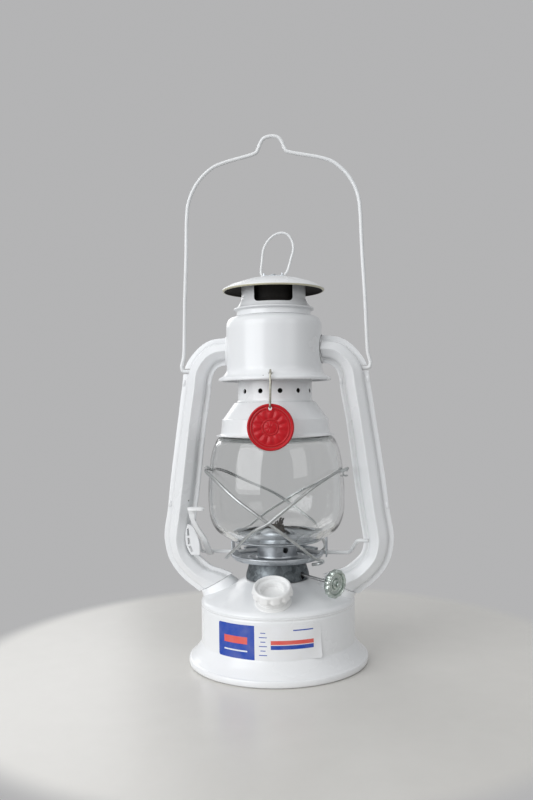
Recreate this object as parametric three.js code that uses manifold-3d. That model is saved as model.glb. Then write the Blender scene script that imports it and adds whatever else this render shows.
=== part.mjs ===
// Small tubular kerosene lantern: a tank with an air chamber, two side tubes that carry the
// hood, a glass globe on a lifting plate, a sliding sprung chimney and a wire bail.
// Millimetres, +Z up, the front faces -Y. The origin is the centre of the foot's underside.

import * as THREE from 'three';
import { mergeVertices } from 'three/addons/utils/BufferGeometryUtils.js';
import Module from 'manifold-3d';

const wasm = await Module();
wasm.setup();

// Sizes that several pieces share
const sheet = 0.8;
const fit = 0.3;
const overrun = 6;
const weld = 0.0001;

// Facets of the round pieces
const largeFacets = 24;
const smallFacets = 12;
const wireSides = 6;

// Tank
const footRadius = 57.5;
const footBeadHeight = 4.8;
const footBeadWidth = 3.6;
const footRestWidth = 2;
const footFlareHeight = 12.4;
const tankRadius = 49.3;
const tankWallTop = 38;
const tankFloorHeight = 14.4;
const tankFloorRim = 4;
const tankLidDrop = 4;
const tankLidRim = 3;
const burnerHoleRadius = 14;

// Air chamber over the tank
const shoulderReach = 3.3;
const shoulderRise = 3.2;
const coneRise = 10.7;
const collarFootRadius = 20.4;
const spigotRadius = 15.7;
const bossTilt = THREE.MathUtils.degToRad(28.6);
const bossAcross = 40.5;
const bossLift = 6.9;
const bossLength = 9;

// Filler in the front of the cone
const fillerAzimuth = THREE.MathUtils.degToRad(3);
const fillerTilt = THREE.MathUtils.degToRad(23.5);
const fillerInset = 12.8;
const neckRadius = 9.2;
const neckWall = 1.3;
const neckRise = 6.9;
const neckFlangeReach = 2;
const neckFlangeThickness = 0.8;
const capRadius = 12.5;
const capRise = 1.8;
const capRecessRadius = 9.8;
const capPlugDepth = 4.4;
const capSkirtHeight = 4.8;
const capInnerSkirtHeight = 3.4;
const gasketThickness = 1.1;
const scallopCount = 10;
const scallopRadius = 1.6;

// Burner
const collarHeight = 12;
const collarTopRadius = 18.4;
const barrelRadius = 9.8;
const barrelHeight = 9;
const barrelFlangeHeight = 1.2;
const spigotDrop = 4.5;
const wickAzimuth = THREE.MathUtils.degToRad(-37);
const wickWidth = 13.4;
const wickThickness = 1.6;
const wickShift = -0.4;
const wickTubeWall = 0.6;
const wickTubeRise = 27.4;
const wickTubeDrop = 12;
const wickRise = 36.6;
const wickDrop = 24.5;
const wickTipLean = 1;
const shaftOffset = 2.2;
const shaftHeight = 5.2;
const shaftTilt = THREE.MathUtils.degToRad(4);
const shaftRadius = 0.9;
const shaftReach = 45.4;
const shaftTail = 8.3;
const spurRadius = 1.5;
const spurThickness = 1;
const spurSpread = 4;
const spurTeeth = 8;
const knobRadius = 8.9;
const knobThickness = 5;
const knobPlace = 44.1;
const knobHubRadius = 3.2;
const knobNibRadius = 1.7;
const knobNibLength = 1.4;
const knobRecessRadius = 6.6;
const knobRecessDepth = 2.2;

// Pieces that the lever lifts
const dishRadius = 30.2;
const dishHeight = 4.1;
const dishNeckRadius = 12.9;
const dishNeckHeight = 11.2;
const dishBead = 1.5;
const neckHoleRadius = 2.2;
const neckHoleCount = 3;
const neckHoleTurn = THREE.MathUtils.degToRad(32);
const domeRadius = 11.3;
const domeHeight = 7.6;
const domeSlotLength = 16;
const domeSlotWidth = 4.6;
const plateRadius = 29.4;
const plateHeight = 3;
const plateBead = 1.2;
const earReach = 31.5;
const earThickness = 0.9;
const earWidth = 10;
const earWall = 1.4;
const globeRadius = 43.9;
const globeHeight = 75.2;
const globeWall = 2;
const globeNeckRadius = 32.9;
const globeFootRadius = 27.2;

// Guard round the globe
const guardWire = 1.9;
const guardRadius = 50.4;
const guardCrossing = 2.5;
const guardRise = 57.6;
const guardBendLeft = 46.2;
const guardBendRight = 45.9;
const clipWire = 1;

// Lift wire and lever
const liftWire = 2.2;
const leverAxisRise = 0.1;
const crankRadius = 13;
const crankAngle = THREE.MathUtils.degToRad(-46);
const crankInset = 3.1;
const liftPinSeat = 2.9;
const liftBypass = 17;
const liftBypassHalf = 14;
const leverStrip = 0.9;
const leverWidth = 4;
const leverInset = 6;
const leverTabWidth = 11;
const leverTabHeight = 5.4;
const leverTabForward = 14;
const leverTabRise = 17;
const guideWidth = 9.4;
const guideHeight = 20;
const guideSeat = 3.9;
const guideForward = 5.2;
const guideThickness = 0.8;

// Side tubes
const tubeReach = 74.8;
const tubeInnerShare = 0.742;
const tubeDepth = 7.5;
const tubeSheet = 0.7;
const seamWidth = 2.3;
const bossSpan = 25.2;
const tubeMouthRise = 29;
const tubeMouthSpan = 17.8;

// Bell and sliding chimney
const bellLipRadius = 38.3;
const bellLipDropShare = 0.1436;
const bellWallRadius = 35.2;
const bellShoulderRadius = 34.3;
const bellThroatRadius = 26.2;
const bellThroatRise = 10.4;
const bellNeckRadius = 24;
const bellNeckHeight = 20;
const bellSheet = 0.6;
const ventCount = 12;
const ventRadius = 1.55;
const ventRise = 6.4;
const ventTurn = THREE.MathUtils.degToRad(15.5);
const flueRadius = 20.9;
const flueSpigot = 3;
const flueTopRise = 4;
const springWire = 1.2;
const springTurns = 5;
const springStepsPerTurn = 8;
const springSides = 5;

// Hood
const hoodLipRise = 24.2;
const hoodLipRadius = 36.4;
const hoodLipHeight = 1.6;
const hoodFlareHeight = 8;
const hoodRadius = 30.9;
const hoodHeight = 41.4;
const hoodShoulderReach = 3.7;
const hoodShoulderDrop = 5.8;
const hookHoleRadius = 1.6;

// Cage and canopy on the chimney
const cageRadius = 24;
const cageBandHeight = 3.6;
const cageBeadRadius = 26.1;
const cagePostRadius = 20.8;
const cageTaperRise = 11.3;
const cageHeight = 21.6;
const windowSill = 7.9;
const windowHeight = 11.4;
const windowHalfAngle = THREE.MathUtils.degToRad(35.5);
const windowTurn = THREE.MathUtils.degToRad(7.5);
const windowCorner = 2.6;
const canopyRadius = 33.1;
const canopyRimRise = 16.5;
const canopyHeight = 9.5;
const canopyBead = 1.5;

// Finger ring on the canopy
const ringWire = 1.3;
const ringAxisRise = 0.9;
const ringHalfWidth = 7.8;
const ringHeight = 27.9;
const bracketHalfLength = 6.3;
const bracketWidth = 4;
const bracketEarHeight = 2.2;
const rivetHeadRadius = 1.9;
const rivetShankRadius = 0.9;
const rivetHeadHeight = 0.8;

// Bail
const bailWire = 2.4;
const bailWidthShare = 0.825;
const bailRise = 151.9;
const bailPivotRise = 7.5;
const bailPinSeat = 6.1;

// Medallion on its hook
const tagAzimuth = THREE.MathUtils.degToRad(3.7);
const hookWire = 1.2;
const hookDrop = 21.7;
const hookHoleAcross = 33;
const hookHoleRise = 4.8;
const medallionRadius = 14.2;
const medallionAcross = 41.9;
const medallionPlate = 1.2;
const medallionRim = 2.2;
const medallionRimWidth = 1.6;
const medallionHoleRadius = 1.6;
const medallionHoleInset = 2.8;
const medallionHang = 0.4;

// Distances across that follow from the sizes
const fillerAcross = tankRadius - fillerInset;
const tubeInner = tubeReach * tubeInnerShare;
const crankAcross = tubeInner - crankInset;
const liftPinAcross = tubeInner + liftPinSeat;
const leverAcross = crankAcross - leverInset;
const bailHalfWidth = tubeReach * bailWidthShare;
const bailPinAcross = bailHalfWidth - bailPinSeat;
const bellLipDrop = globeHeight * bellLipDropShare;

// Heights above the ground that follow from the sizes
const shoulderFoot = tankWallTop + fit;
const coneFoot = shoulderFoot + shoulderRise;
const coneFootRadius = tankRadius - shoulderReach;
const coneTop = coneFoot + coneRise;
const coneSlope = coneRise / (coneFootRadius - collarFootRadius);
const collarFoot = coneTop + fit;
const dishFoot = collarFoot + collarHeight + fit;
const plateFloor = dishFoot + dishNeckHeight + fit;
const globeFoot = plateFloor + plateHeight + fit;
const globeTop = globeFoot + globeHeight;
const hoodFoot = globeTop + hoodLipRise;
const hoodTop = hoodFoot + hoodHeight;
const cageFoot = hoodTop + fit;
const canopyRim = hoodTop + canopyRimRise;
const canopyCrown = canopyRim + canopyHeight;
const ringAxis = canopyCrown + ringAxisRise;
const bailPivot = hoodFoot + bailPivotRise;
const leverAxis = plateFloor + leverAxisRise;
const liftLevel = leverAxis + crankRadius * Math.sin(crankAngle);
const liftForward = crankRadius * Math.cos(crankAngle);
const bellFoot = globeTop - bellLipDrop;
const bellNeckTop = bellFoot + bellThroatRise + bellLipDrop + bellNeckHeight + fit;

const { Vector2, Vector3, Matrix4, Shape, BufferGeometry } = THREE;
const quarterTurn = Math.PI / 2;
const yAxis = new Vector3(0, 1, 0);
const zAxis = new Vector3(0, 0, 1);

// Colours and finishes
function finish(color, roughness, metalness) {
  return new THREE.MeshStandardMaterial({ color, roughness, metalness, flatShading: true });
}
const whiteEnamel = () => finish(0xeceef0, 0.3, 0);
const whiteWire = () => finish(0xe6e8e9, 0.4, 0);
const dullZinc = () => finish(0x84898d, 0.5, 0.8);
const brightZinc = () => finish(0xc4c8ca, 0.35, 0.8);
const plainSteel = () => finish(0xa3a4a3, 0.45, 0.8);
const clearGlass = () => finish(0xdfe9e6, 0.05, 0);
const wovenCotton = () => finish(0x2c2824, 0.95, 0);
const redEnamel = () => finish(0xb3231f, 0.3, 0);
const darkRubber = () => finish(0x2a2a2a, 0.8, 0);

// Volume that a triangle list encloses, positive when its faces point out
function enclosedVolume(geometry) {
  const place = geometry.attributes.position;
  const index = geometry.index.array;
  const corners = [new Vector3(), new Vector3(), new Vector3()];
  let sum = 0;
  for (let i = 0; i < index.length; i += corners.length) {
    corners.forEach((corner, k) => corner.fromBufferAttribute(place, index[i + k]));
    sum += corners[0].dot(corners[1].clone().cross(corners[2]));
  }
  return sum;
}

// Merges shared corners, drops faces without area and turns the faces out
function closed(geometry) {
  const bare = geometry.clone();
  bare.deleteAttribute('normal');
  bare.deleteAttribute('uv');
  const merged = mergeVertices(bare, weld);
  const index = merged.index.array;
  const faces = [];
  for (let i = 0; i < index.length; i += 3) {
    const [a, b, c] = [index[i], index[i + 1], index[i + 2]];
    if (a !== b && b !== c && c !== a) faces.push([a, b, c]);
  }
  merged.setIndex(faces.flat());
  if (enclosedVolume(merged) < 0) merged.setIndex(faces.map(([a, b, c]) => [a, c, b]).flat());
  return merged;
}

function toManifold(geometry) {
  const ready = closed(geometry);
  return new wasm.Manifold(new wasm.Mesh({
    numProp: 3,
    vertProperties: new Float32Array(ready.attributes.position.array),
    triVerts: new Uint32Array(ready.index.array),
  }));
}

function fromManifold(solid) {
  const mesh = solid.getMesh();
  const geometry = new BufferGeometry();
  geometry.setAttribute('position', new THREE.BufferAttribute(new Float32Array(mesh.vertProperties), 3));
  geometry.setIndex(Array.from(mesh.triVerts));
  return geometry;
}

function join(first, ...others) {
  return fromManifold(others.reduce((sum, other) => sum.add(toManifold(other)), toManifold(first)));
}

function cut(body, ...tools) {
  return fromManifold(tools.reduce((rest, tool) => rest.subtract(toManifold(tool)), toManifold(body)));
}

// Ring or disc turned about Z. The outline is a list of [radius, height]
function turned(outline, facets = largeFacets) {
  const points = outline.map(([radius, height]) => new Vector2(radius, height));
  const [first, last] = [points[0], points[points.length - 1]];
  if (first.x > 0 || last.x > 0) points.push(first.clone());
  return closed(new THREE.LatheGeometry(points, facets).rotateX(quarterTurn));
}

// Straight cylinder along Z from its foot
function pillar(radius, height, facets = smallFacets) {
  return new THREE.CylinderGeometry(radius, radius, height, facets).rotateX(quarterTurn).translate(0, 0, height / 2);
}

function block(across, deep, high) {
  return new THREE.BoxGeometry(across, deep, high);
}

function ellipse(halfAcross, halfDeep) {
  return new Shape().absellipse(0, 0, halfAcross, halfDeep, 0, Math.PI * 2);
}

function prism(shape, height, facets = smallFacets) {
  const curveSegments = facets;
  return new THREE.ExtrudeGeometry(shape, { depth: height, bevelEnabled: false, curveSegments });
}

function roundSection(radius, sides) {
  const corners = Array.from({ length: sides }, (_, i) => {
    const turn = (i + 1 / 2) * 2 * Math.PI / sides;
    return new Vector2(radius * Math.cos(turn), radius * Math.sin(turn));
  });
  return new Shape(corners);
}

// Bent wire through a list of points
function bentWire(points, diameter, steps, sides = wireSides) {
  const path = new THREE.CatmullRomCurve3(points, false, 'centripetal');
  const section = roundSection(diameter / 2, sides);
  return closed(new THREE.ExtrudeGeometry(section, { steps, extrudePath: path, bevelEnabled: false }));
}

// Skin over a row of rings with equal point counts, closed by a cap at each end.
// The outline is the first ring drawn flat, which says how the caps are divided
function lofted(rings, outline) {
  const count = outline.length;
  const faces = [];
  for (let i = 0; i + 1 < rings.length; i += 1) {
    for (let k = 0; k < count; k += 1) {
      const next = (k + 1) % count;
      const [a, b] = [i * count + k, i * count + next];
      faces.push([a, b, b + count], [a, b + count, a + count]);
    }
  }
  const caps = THREE.ShapeUtils.triangulateShape(outline, []);
  const turn = THREE.ShapeUtils.isClockWise(outline) ? 1 : -1;
  const last = (rings.length - 1) * count;
  for (const [a, b, c] of caps) {
    faces.push(turn > 0 ? [a, b, c] : [a, c, b]);
    faces.push(turn > 0 ? [last + a, last + c, last + b] : [last + a, last + b, last + c]);
  }
  const geometry = new BufferGeometry();
  const corners = rings.flat().flatMap((point) => point.toArray());
  geometry.setAttribute('position', new THREE.Float32BufferAttribute(corners, 3));
  geometry.setIndex(faces.flat());
  return closed(geometry);
}

// Point at an azimuth counted from the front towards +X
function around(radius, azimuth, height) {
  return new Vector3(radius * Math.sin(azimuth), -radius * Math.cos(azimuth), height);
}

const lantern = new THREE.Group();
lantern.name = 'lantern';

// Puts a piece into the lantern, or into a group of it
function add(name, geometry, material, place = new Vector3(), holder = lantern) {
  const mesh = new THREE.Mesh(closed(geometry), material);
  mesh.name = name;
  mesh.position.copy(place);
  holder.add(mesh);
  return mesh;
}

const atHeight = (height) => new Vector3(0, 0, height);

// Tank wall with a flared foot and a rolled bead that it stands on
function fountBody() {
  const beadInner = footRadius - footBeadWidth;
  const beadMiddle = footRadius - footBeadWidth / 2;
  const restInner = beadMiddle - footRestWidth / 2;
  const restOuter = beadMiddle + footRestWidth / 2;
  const flare = footRadius - tankRadius;
  return turned([
    [restInner, 0],
    [restOuter, 0],
    [footRadius, footBeadHeight / 2],
    [beadMiddle + footRestWidth / 2, footBeadHeight],
    [tankRadius + flare * 0.36, footFlareHeight * 0.6],
    [tankRadius + flare * 0.06, footFlareHeight],
    [tankRadius, footFlareHeight + sheet],
    [tankRadius, tankWallTop],
    [tankRadius - sheet, tankWallTop],
    [tankRadius - sheet, footFlareHeight + sheet],
    [tankRadius + flare * 0.06 - sheet, footFlareHeight - sheet],
    [tankRadius + flare * 0.25, footFlareHeight * 0.54],
    [beadInner, footBeadHeight / 2],
  ]);
}

function fountBase() {
  const radius = tankRadius - sheet - fit;
  return turned([
    [0, 0],
    [radius, 0],
    [radius, tankFloorRim],
    [radius - sheet, tankFloorRim],
    [radius - sheet, sheet],
    [0, sheet],
  ]);
}

// Filler axis: the point where it leaves the cone, and its direction
const fillerFoot = around(fillerAcross, fillerAzimuth, coneFoot + (coneFootRadius - fillerAcross) * coneSlope);
const fillerAxis = around(Math.sin(fillerTilt), fillerAzimuth, Math.cos(fillerTilt));
const fillerTurn = new THREE.Quaternion().setFromUnitVectors(zAxis, fillerAxis);

// Turns a piece drawn along Z onto the filler axis and moves it along that axis
function onFillerAxis(geometry, along) {
  const centre = fillerFoot.clone().addScaledVector(fillerAxis, along);
  return geometry.clone().applyQuaternion(fillerTurn).translate(centre.x, centre.y, centre.z);
}

const fillerBore = onFillerAxis(pillar(neckRadius + fit, 2 * (tankLidDrop + coneRise) + neckRise), -tankLidDrop - 2 * coneRise);

// Inner lid over the fuel, with holes for the burner and the filler neck
function fountLid() {
  const radius = tankRadius - sheet - fit;
  const lidTop = tankWallTop - tankLidDrop;
  const lid = turned([
    [burnerHoleRadius, lidTop - sheet],
    [radius - sheet, lidTop - sheet],
    [radius - sheet, lidTop - tankLidRim],
    [radius, lidTop - tankLidRim],
    [radius, lidTop],
    [burnerHoleRadius, lidTop],
  ]);
  return cut(lid, fillerBore);
}

// Landing of a side tube on the cone: along the slope, across it, and square to its face
const bossCentre = new Vector3(bossAcross, 0, coneFoot + bossLift);
const bossAlong = new Vector3(Math.cos(bossTilt), 0, -Math.sin(bossTilt));
const bossNormal = new Vector3(Math.sin(bossTilt), 0, Math.cos(bossTilt));
const bossFrame = new Matrix4().makeBasis(bossAlong, yAxis, bossNormal).setPosition(bossCentre);
const bossHalf = bossSpan / 2 - seamWidth;

function onBoss(halfAcross, halfDeep, foot, height, side) {
  const pad = prism(ellipse(halfAcross, halfDeep), height, smallFacets).translate(0, 0, foot);
  return pad.applyMatrix4(bossFrame).scale(side, 1, 1);
}

// Conical air chamber: shoulder, cone, tube bosses, and holes for burner, filler and air
function airDome() {
  const skirtFoot = tankWallTop - tankLidDrop + 2 * fit;
  const skirtRadius = tankRadius - sheet - fit;
  const inner = sheet / Math.cos(Math.atan(coneSlope));
  const outside = turned([
    [0, skirtFoot],
    [skirtRadius, skirtFoot],
    [skirtRadius, shoulderFoot],
    [tankRadius, shoulderFoot],
    [tankRadius - shoulderReach * 0.12, shoulderFoot + shoulderRise * 0.45],
    [tankRadius - shoulderReach * 0.45, shoulderFoot + shoulderRise * 0.82],
    [coneFootRadius, coneFoot],
    [collarFootRadius, coneTop],
    [0, coneTop],
  ]);
  const inside = turned([
    [0, skirtFoot - overrun],
    [skirtRadius - sheet, skirtFoot - overrun],
    [skirtRadius - sheet, shoulderFoot + sheet],
    [coneFootRadius - sheet, coneFoot - inner],
    [collarFootRadius - sheet, coneTop - inner],
    [0, coneTop - inner],
  ]);
  const pads = [1, -1].map((side) => onBoss(bossHalf, tubeDepth, -bossLength, bossLength, side));
  const ducts = [1, -1].map((side) => {
    const half = bossHalf - 2 * sheet;
    return onBoss(half, tubeDepth - 2 * sheet, -bossLength - overrun, bossLength + 2 * overrun, side);
  });
  const burnerHole = pillar(spigotRadius + fit, coneTop, largeFacets);
  return cut(join(outside, ...pads), inside, ...ducts, fillerBore, burnerHole.translate(0, 0, skirtFoot));
}

// Neck from the lid through the cone, with a flange that lies on the cone
function fillerNeck() {
  const drop = coneFoot - tankWallTop + tankLidDrop + coneRise * 0.37;
  const thread = [];
  const crests = 3;
  const pitch = (neckRise - neckFlangeThickness - 2 * fit) / crests;
  for (let i = 0; i < crests; i += 1) {
    const foot = neckFlangeThickness + 2 * fit + i * pitch;
    thread.push([neckRadius - fit, foot], [neckRadius, foot + pitch / 2]);
  }
  return turned([
    [neckRadius - neckWall, -drop],
    [neckRadius - fit, -drop],
    [neckRadius - fit, fit],
    [neckRadius + neckFlangeReach, fit],
    [neckRadius + neckFlangeReach, fit + neckFlangeThickness],
    ...thread,
    [neckRadius - fit, neckRise],
    [neckRadius - neckWall, neckRise],
  ], smallFacets);
}

// Screw cap: scalloped ring, a skirt over the neck and a hollow plug that dips into its bore
function fillerCap() {
  const skirtInner = neckRadius + fit;
  const skirtOuter = skirtInner + sheet;
  const plugOuter = neckRadius - neckWall - fit;
  const plugInner = plugOuter - sheet;
  const ringInner = capRecessRadius;
  const top = capRise;
  const cap = turned([
    [0, -capPlugDepth - sheet],
    [plugOuter, -capPlugDepth - sheet],
    [plugOuter, -sheet],
    [skirtInner, -sheet],
    [skirtInner, -capSkirtHeight],
    [skirtOuter, -capSkirtHeight],
    [skirtOuter, -capInnerSkirtHeight],
    [capRadius - sheet, -capInnerSkirtHeight],
    [capRadius, -capInnerSkirtHeight + sheet],
    [capRadius, top - 2 * sheet],
    [capRadius - sheet / 2, top - sheet],
    [capRadius - 2 * sheet, top],
    [ringInner + sheet / 2, top],
    [ringInner, top - sheet],
    [ringInner, 0],
    [plugInner, 0],
    [plugInner, -capPlugDepth],
    [0, -capPlugDepth],
  ], smallFacets);
  const notches = Array.from({ length: scallopCount }, (_, i) => {
    const centre = around(capRadius + scallopRadius * 0.45, i * 2 * Math.PI / scallopCount, -capInnerSkirtHeight - overrun);
    const notch = pillar(scallopRadius, overrun + capInnerSkirtHeight * 0.9, wireSides);
    return notch.translate(centre.x, centre.y, centre.z);
  });
  return cut(cap, ...notches);
}

function capGasket() {
  const bore = neckRadius - neckWall;
  return turned([
    [bore, 0],
    [neckRadius - fit, 0],
    [neckRadius - fit, gasketThickness],
    [bore, gasketThickness],
  ], smallFacets);
}

add('fount_body', fountBody(), whiteEnamel());
add('fount_base', fountBase(), whiteEnamel(), atHeight(tankFloorHeight));
add('fount_lid', fountLid(), dullZinc());
add('air_dome', airDome(), whiteEnamel());

const filler = new THREE.Group();
filler.position.copy(fillerFoot);
filler.quaternion.copy(fillerTurn);
lantern.add(filler);
add('filler_neck', fillerNeck(), whiteEnamel(), atHeight(0), filler);
add('cap_gasket', capGasket(), darkRubber(), atHeight(neckRise + fit), filler);
add('filler_cap', fillerCap(), whiteEnamel(), atHeight(neckRise + 2 * fit + gasketThickness + sheet), filler);

// Galvanised collar between the cone and the dish, with a slot for the wick shaft
const shaftAxis = around(Math.cos(shaftTilt), Math.PI / 2 + wickAzimuth, -Math.sin(shaftTilt));
const shaftAcross = new Vector3(-shaftAxis.y, shaftAxis.x, 0).normalize();
const shaftCentre = shaftAcross.clone().multiplyScalar(shaftOffset).setZ(collarFoot + shaftHeight);
const shaftTurn = new THREE.Quaternion().setFromUnitVectors(zAxis, shaftAxis);

// Cylinder along the wick shaft between two distances from the lantern's axis
function alongShaft(radius, from, to, facets = wireSides) {
  const start = shaftCentre.clone().addScaledVector(shaftAxis, from);
  const rod = pillar(radius, to - from, facets).applyQuaternion(shaftTurn);
  return rod.translate(start.x, start.y, start.z);
}

function burnerCollar() {
  const lip = sheet;
  const collar = turned([
    [barrelRadius + 3 * sheet, collarHeight - sheet],
    [collarTopRadius - sheet, collarHeight - sheet],
    [collarTopRadius - sheet, collarHeight * 0.72],
    [collarFootRadius - sheet, collarHeight * 0.2],
    [collarFootRadius - sheet, 0],
    [collarFootRadius, 0],
    [collarFootRadius, collarHeight * 0.2 + lip / 2],
    [collarTopRadius, collarHeight * 0.72],
    [collarTopRadius, collarHeight],
    [barrelRadius + 3 * sheet, collarHeight],
  ]).translate(0, 0, collarFoot);
  const slot = alongShaft(shaftRadius + 2 * fit, barrelRadius, collarFootRadius + overrun, smallFacets / 2);
  return cut(collar, slot).translate(0, 0, -collarFoot);
}

// Upright slab in the wick's plane, centred on it
function wickSlab(width, thickness, foot, top) {
  const slab = block(width, thickness, top - foot).translate(0, wickShift, (foot + top) / 2);
  return slab.rotateZ(wickAzimuth);
}

function burnerBody() {
  const flangeRadius = collarFootRadius - sheet - fit;
  const body = turned([
    [0, -spigotDrop],
    [spigotRadius, -spigotDrop],
    [spigotRadius, 0],
    [flangeRadius, 0],
    [flangeRadius, barrelFlangeHeight],
    [barrelRadius, barrelFlangeHeight],
    [barrelRadius, barrelHeight],
    [0, barrelHeight],
  ]).translate(0, 0, collarFoot);
  const tubeWidth = wickWidth + 2 * (fit + wickTubeWall + fit);
  const tubeThickness = wickThickness + 2 * (fit + wickTubeWall + fit);
  const slot = wickSlab(tubeWidth, tubeThickness, collarFoot - 2 * overrun, collarFoot + 2 * overrun);
  const bore = alongShaft(shaftRadius + fit, -barrelRadius * 0.87, barrelRadius + overrun, smallFacets / 2);
  const room = alongShaft(spurRadius + fit, -wickWidth / 2, wickWidth / 2, smallFacets / 2);
  return cut(body, slot, bore, room).translate(0, 0, -collarFoot);
}

// Flat tube round the wick, open on the shaft's side where the spur wheels reach in
function wickTube() {
  const foot = collarFoot - wickTubeDrop;
  const top = collarFoot + wickTubeRise;
  const width = wickWidth + 2 * (fit + wickTubeWall);
  const thickness = wickThickness + 2 * (fit + wickTubeWall);
  const outside = wickSlab(width, thickness, foot, top);
  const inside = wickSlab(wickWidth + 2 * fit, wickThickness + 2 * fit, foot - overrun, top + overrun);
  const window = alongShaft(spurRadius + fit, -wickWidth, wickWidth, smallFacets / 2);
  return cut(outside, inside, window);
}

// Flat wick that leans a little at its burnt tip
function wick() {
  const foot = collarFoot - wickDrop;
  const top = collarFoot + wickRise;
  const steps = 8;
  const outline = [[-1, -1], [1, -1], [1, 1], [-1, 1]].map(([u, v]) => new Vector2(u, v));
  const rings = Array.from({ length: steps + 1 }, (_, i) => {
    const height = foot + (top - foot) * i / steps;
    const bend = Math.max(0, i - steps + 1) * wickTipLean;
    const narrow = i === steps ? 0.8 : 1;
    return outline.map(({ x, y }) => new Vector3(
      x * narrow * wickWidth / 2 + bend,
      y * wickThickness / 2 + wickShift,
      height,
    ).applyAxisAngle(zAxis, wickAzimuth));
  });
  return lofted(rings, outline);
}

// Shaft with its two toothed wheels, drawn along Z from the lantern's axis outwards
function spurShaft() {
  const rod = pillar(shaftRadius, shaftReach + shaftTail, 8).translate(0, 0, -shaftTail);
  const wheels = [-1, 1].map((side) => {
    const corners = Array.from({ length: 2 * spurTeeth }, (_, i) => {
      const radius = i % 2 ? spurRadius : (spurRadius + shaftRadius) / 2;
      const turn = i * Math.PI / spurTeeth;
      return new Vector2(radius * Math.cos(turn), radius * Math.sin(turn));
    });
    const wheel = prism(new Shape(corners), spurThickness);
    return wheel.translate(0, 0, side * spurSpread - spurThickness / 2);
  });
  return join(rod, ...wheels);
}

// Knob with a rounded rim, a deep outer recess and a blind bore for the shaft
function wickKnob() {
  const edge = knobThickness * 0.16;
  const bore = shaftRadius + fit;
  const boreDepth = shaftReach - knobPlace + fit;
  return turned([
    [bore, 0],
    [knobHubRadius, 0],
    [knobRadius - 2 * edge, edge],
    [knobRadius, 2 * edge],
    [knobRadius, knobThickness - edge],
    [knobRadius - edge, knobThickness],
    [knobRecessRadius, knobThickness],
    [knobRecessRadius - edge, knobThickness - knobRecessDepth],
    [knobHubRadius, knobThickness - knobRecessDepth],
    [knobHubRadius - edge, knobThickness - edge],
    [knobNibRadius, knobThickness - edge],
    [knobNibRadius, knobThickness + knobNibLength],
    [0, knobThickness + knobNibLength],
    [0, boreDepth],
    [bore, boreDepth],
    [bore, 0],
  ], smallFacets);
}

add('burner_collar', burnerCollar(), dullZinc(), atHeight(collarFoot));
add('burner_body', burnerBody(), plainSteel(), atHeight(collarFoot));
add('wick_tube', wickTube(), plainSteel());
add('wick', wick(), wovenCotton());

const wickDrive = new THREE.Group();
wickDrive.position.copy(shaftCentre);
wickDrive.quaternion.copy(shaftTurn);
lantern.add(wickDrive);
add('spur_shaft', spurShaft(), plainSteel(), atHeight(0), wickDrive);
add('wick_knob', wickKnob(), brightZinc(), atHeight(knobPlace), wickDrive);

// Lower dish with its neck. The rim is notched at the back where the lift wire passes
function airDish() {
  const neckInner = dishNeckRadius - sheet;
  const floorEdge = dishRadius - 2 * dishBead;
  const pan = turned([
    [neckInner, 0],
    [floorEdge - sheet, 0],
    [floorEdge + dishBead / 2, dishHeight * 0.2],
    [dishRadius - dishBead / 2, dishHeight * 0.6],
    [dishRadius, dishHeight * 0.8],
    [dishRadius - dishBead / 2, dishHeight],
    [floorEdge + dishBead / 2, dishHeight * 0.66],
    [floorEdge - sheet, sheet],
    [dishNeckRadius + sheet, sheet],
    [dishNeckRadius, 2 * sheet],
    [dishNeckRadius, dishNeckHeight],
    [neckInner, dishNeckHeight],
  ]);
  const notchFront = liftForward - liftWire / 2 - 2 * fit;
  const notchDeep = liftBypass - notchFront;
  const notchMiddle = (liftBypass + notchFront) / 2;
  const notch = block(2 * overrun, notchDeep, dishHeight + overrun);
  const notches = [1, -1].map((side) => {
    const across = side * (Math.sqrt(dishRadius ** 2 - notchMiddle ** 2) - dishBead);
    return notch.clone().translate(across, notchMiddle, (overrun + dishHeight + sheet) / 2);
  });
  const holes = Array.from({ length: neckHoleCount }, (_, i) => {
    const turn = neckHoleTurn + i * 2 * Math.PI / neckHoleCount;
    const drill = pillar(neckHoleRadius, dishNeckRadius + overrun, 8);
    return drill.rotateX(quarterTurn).rotateZ(turn).translate(0, 0, dishNeckHeight * 0.64);
  });
  return cut(pan, ...notches, ...holes);
}

function burnerDome() {
  const thin = sheet * 0.9;
  const flange = dishNeckRadius - sheet - fit;
  const dome = turned([
    [flange - 2 * sheet, 0],
    [flange, 0],
    [flange, sheet],
    [domeRadius, sheet * 1.2],
    [domeRadius * 0.97, domeHeight * 0.4],
    [domeRadius * 0.85, domeHeight * 0.7],
    [domeRadius * 0.6, domeHeight * 0.91],
    [domeRadius * 0.3, domeHeight],
    [0, domeHeight],
    [0, domeHeight - thin],
    [domeRadius * 0.28, domeHeight - thin],
    [domeRadius * 0.55, domeHeight * 0.91 - thin],
    [domeRadius * 0.78, domeHeight * 0.7 - thin],
    [domeRadius * 0.9, domeHeight * 0.3],
    [domeRadius * 0.9, 0],
  ], smallFacets);
  const slot = block(domeSlotLength, domeSlotWidth, 2 * overrun).translate(0, wickShift, domeHeight);
  return cut(dome, slot.rotateZ(wickAzimuth));
}

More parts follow.
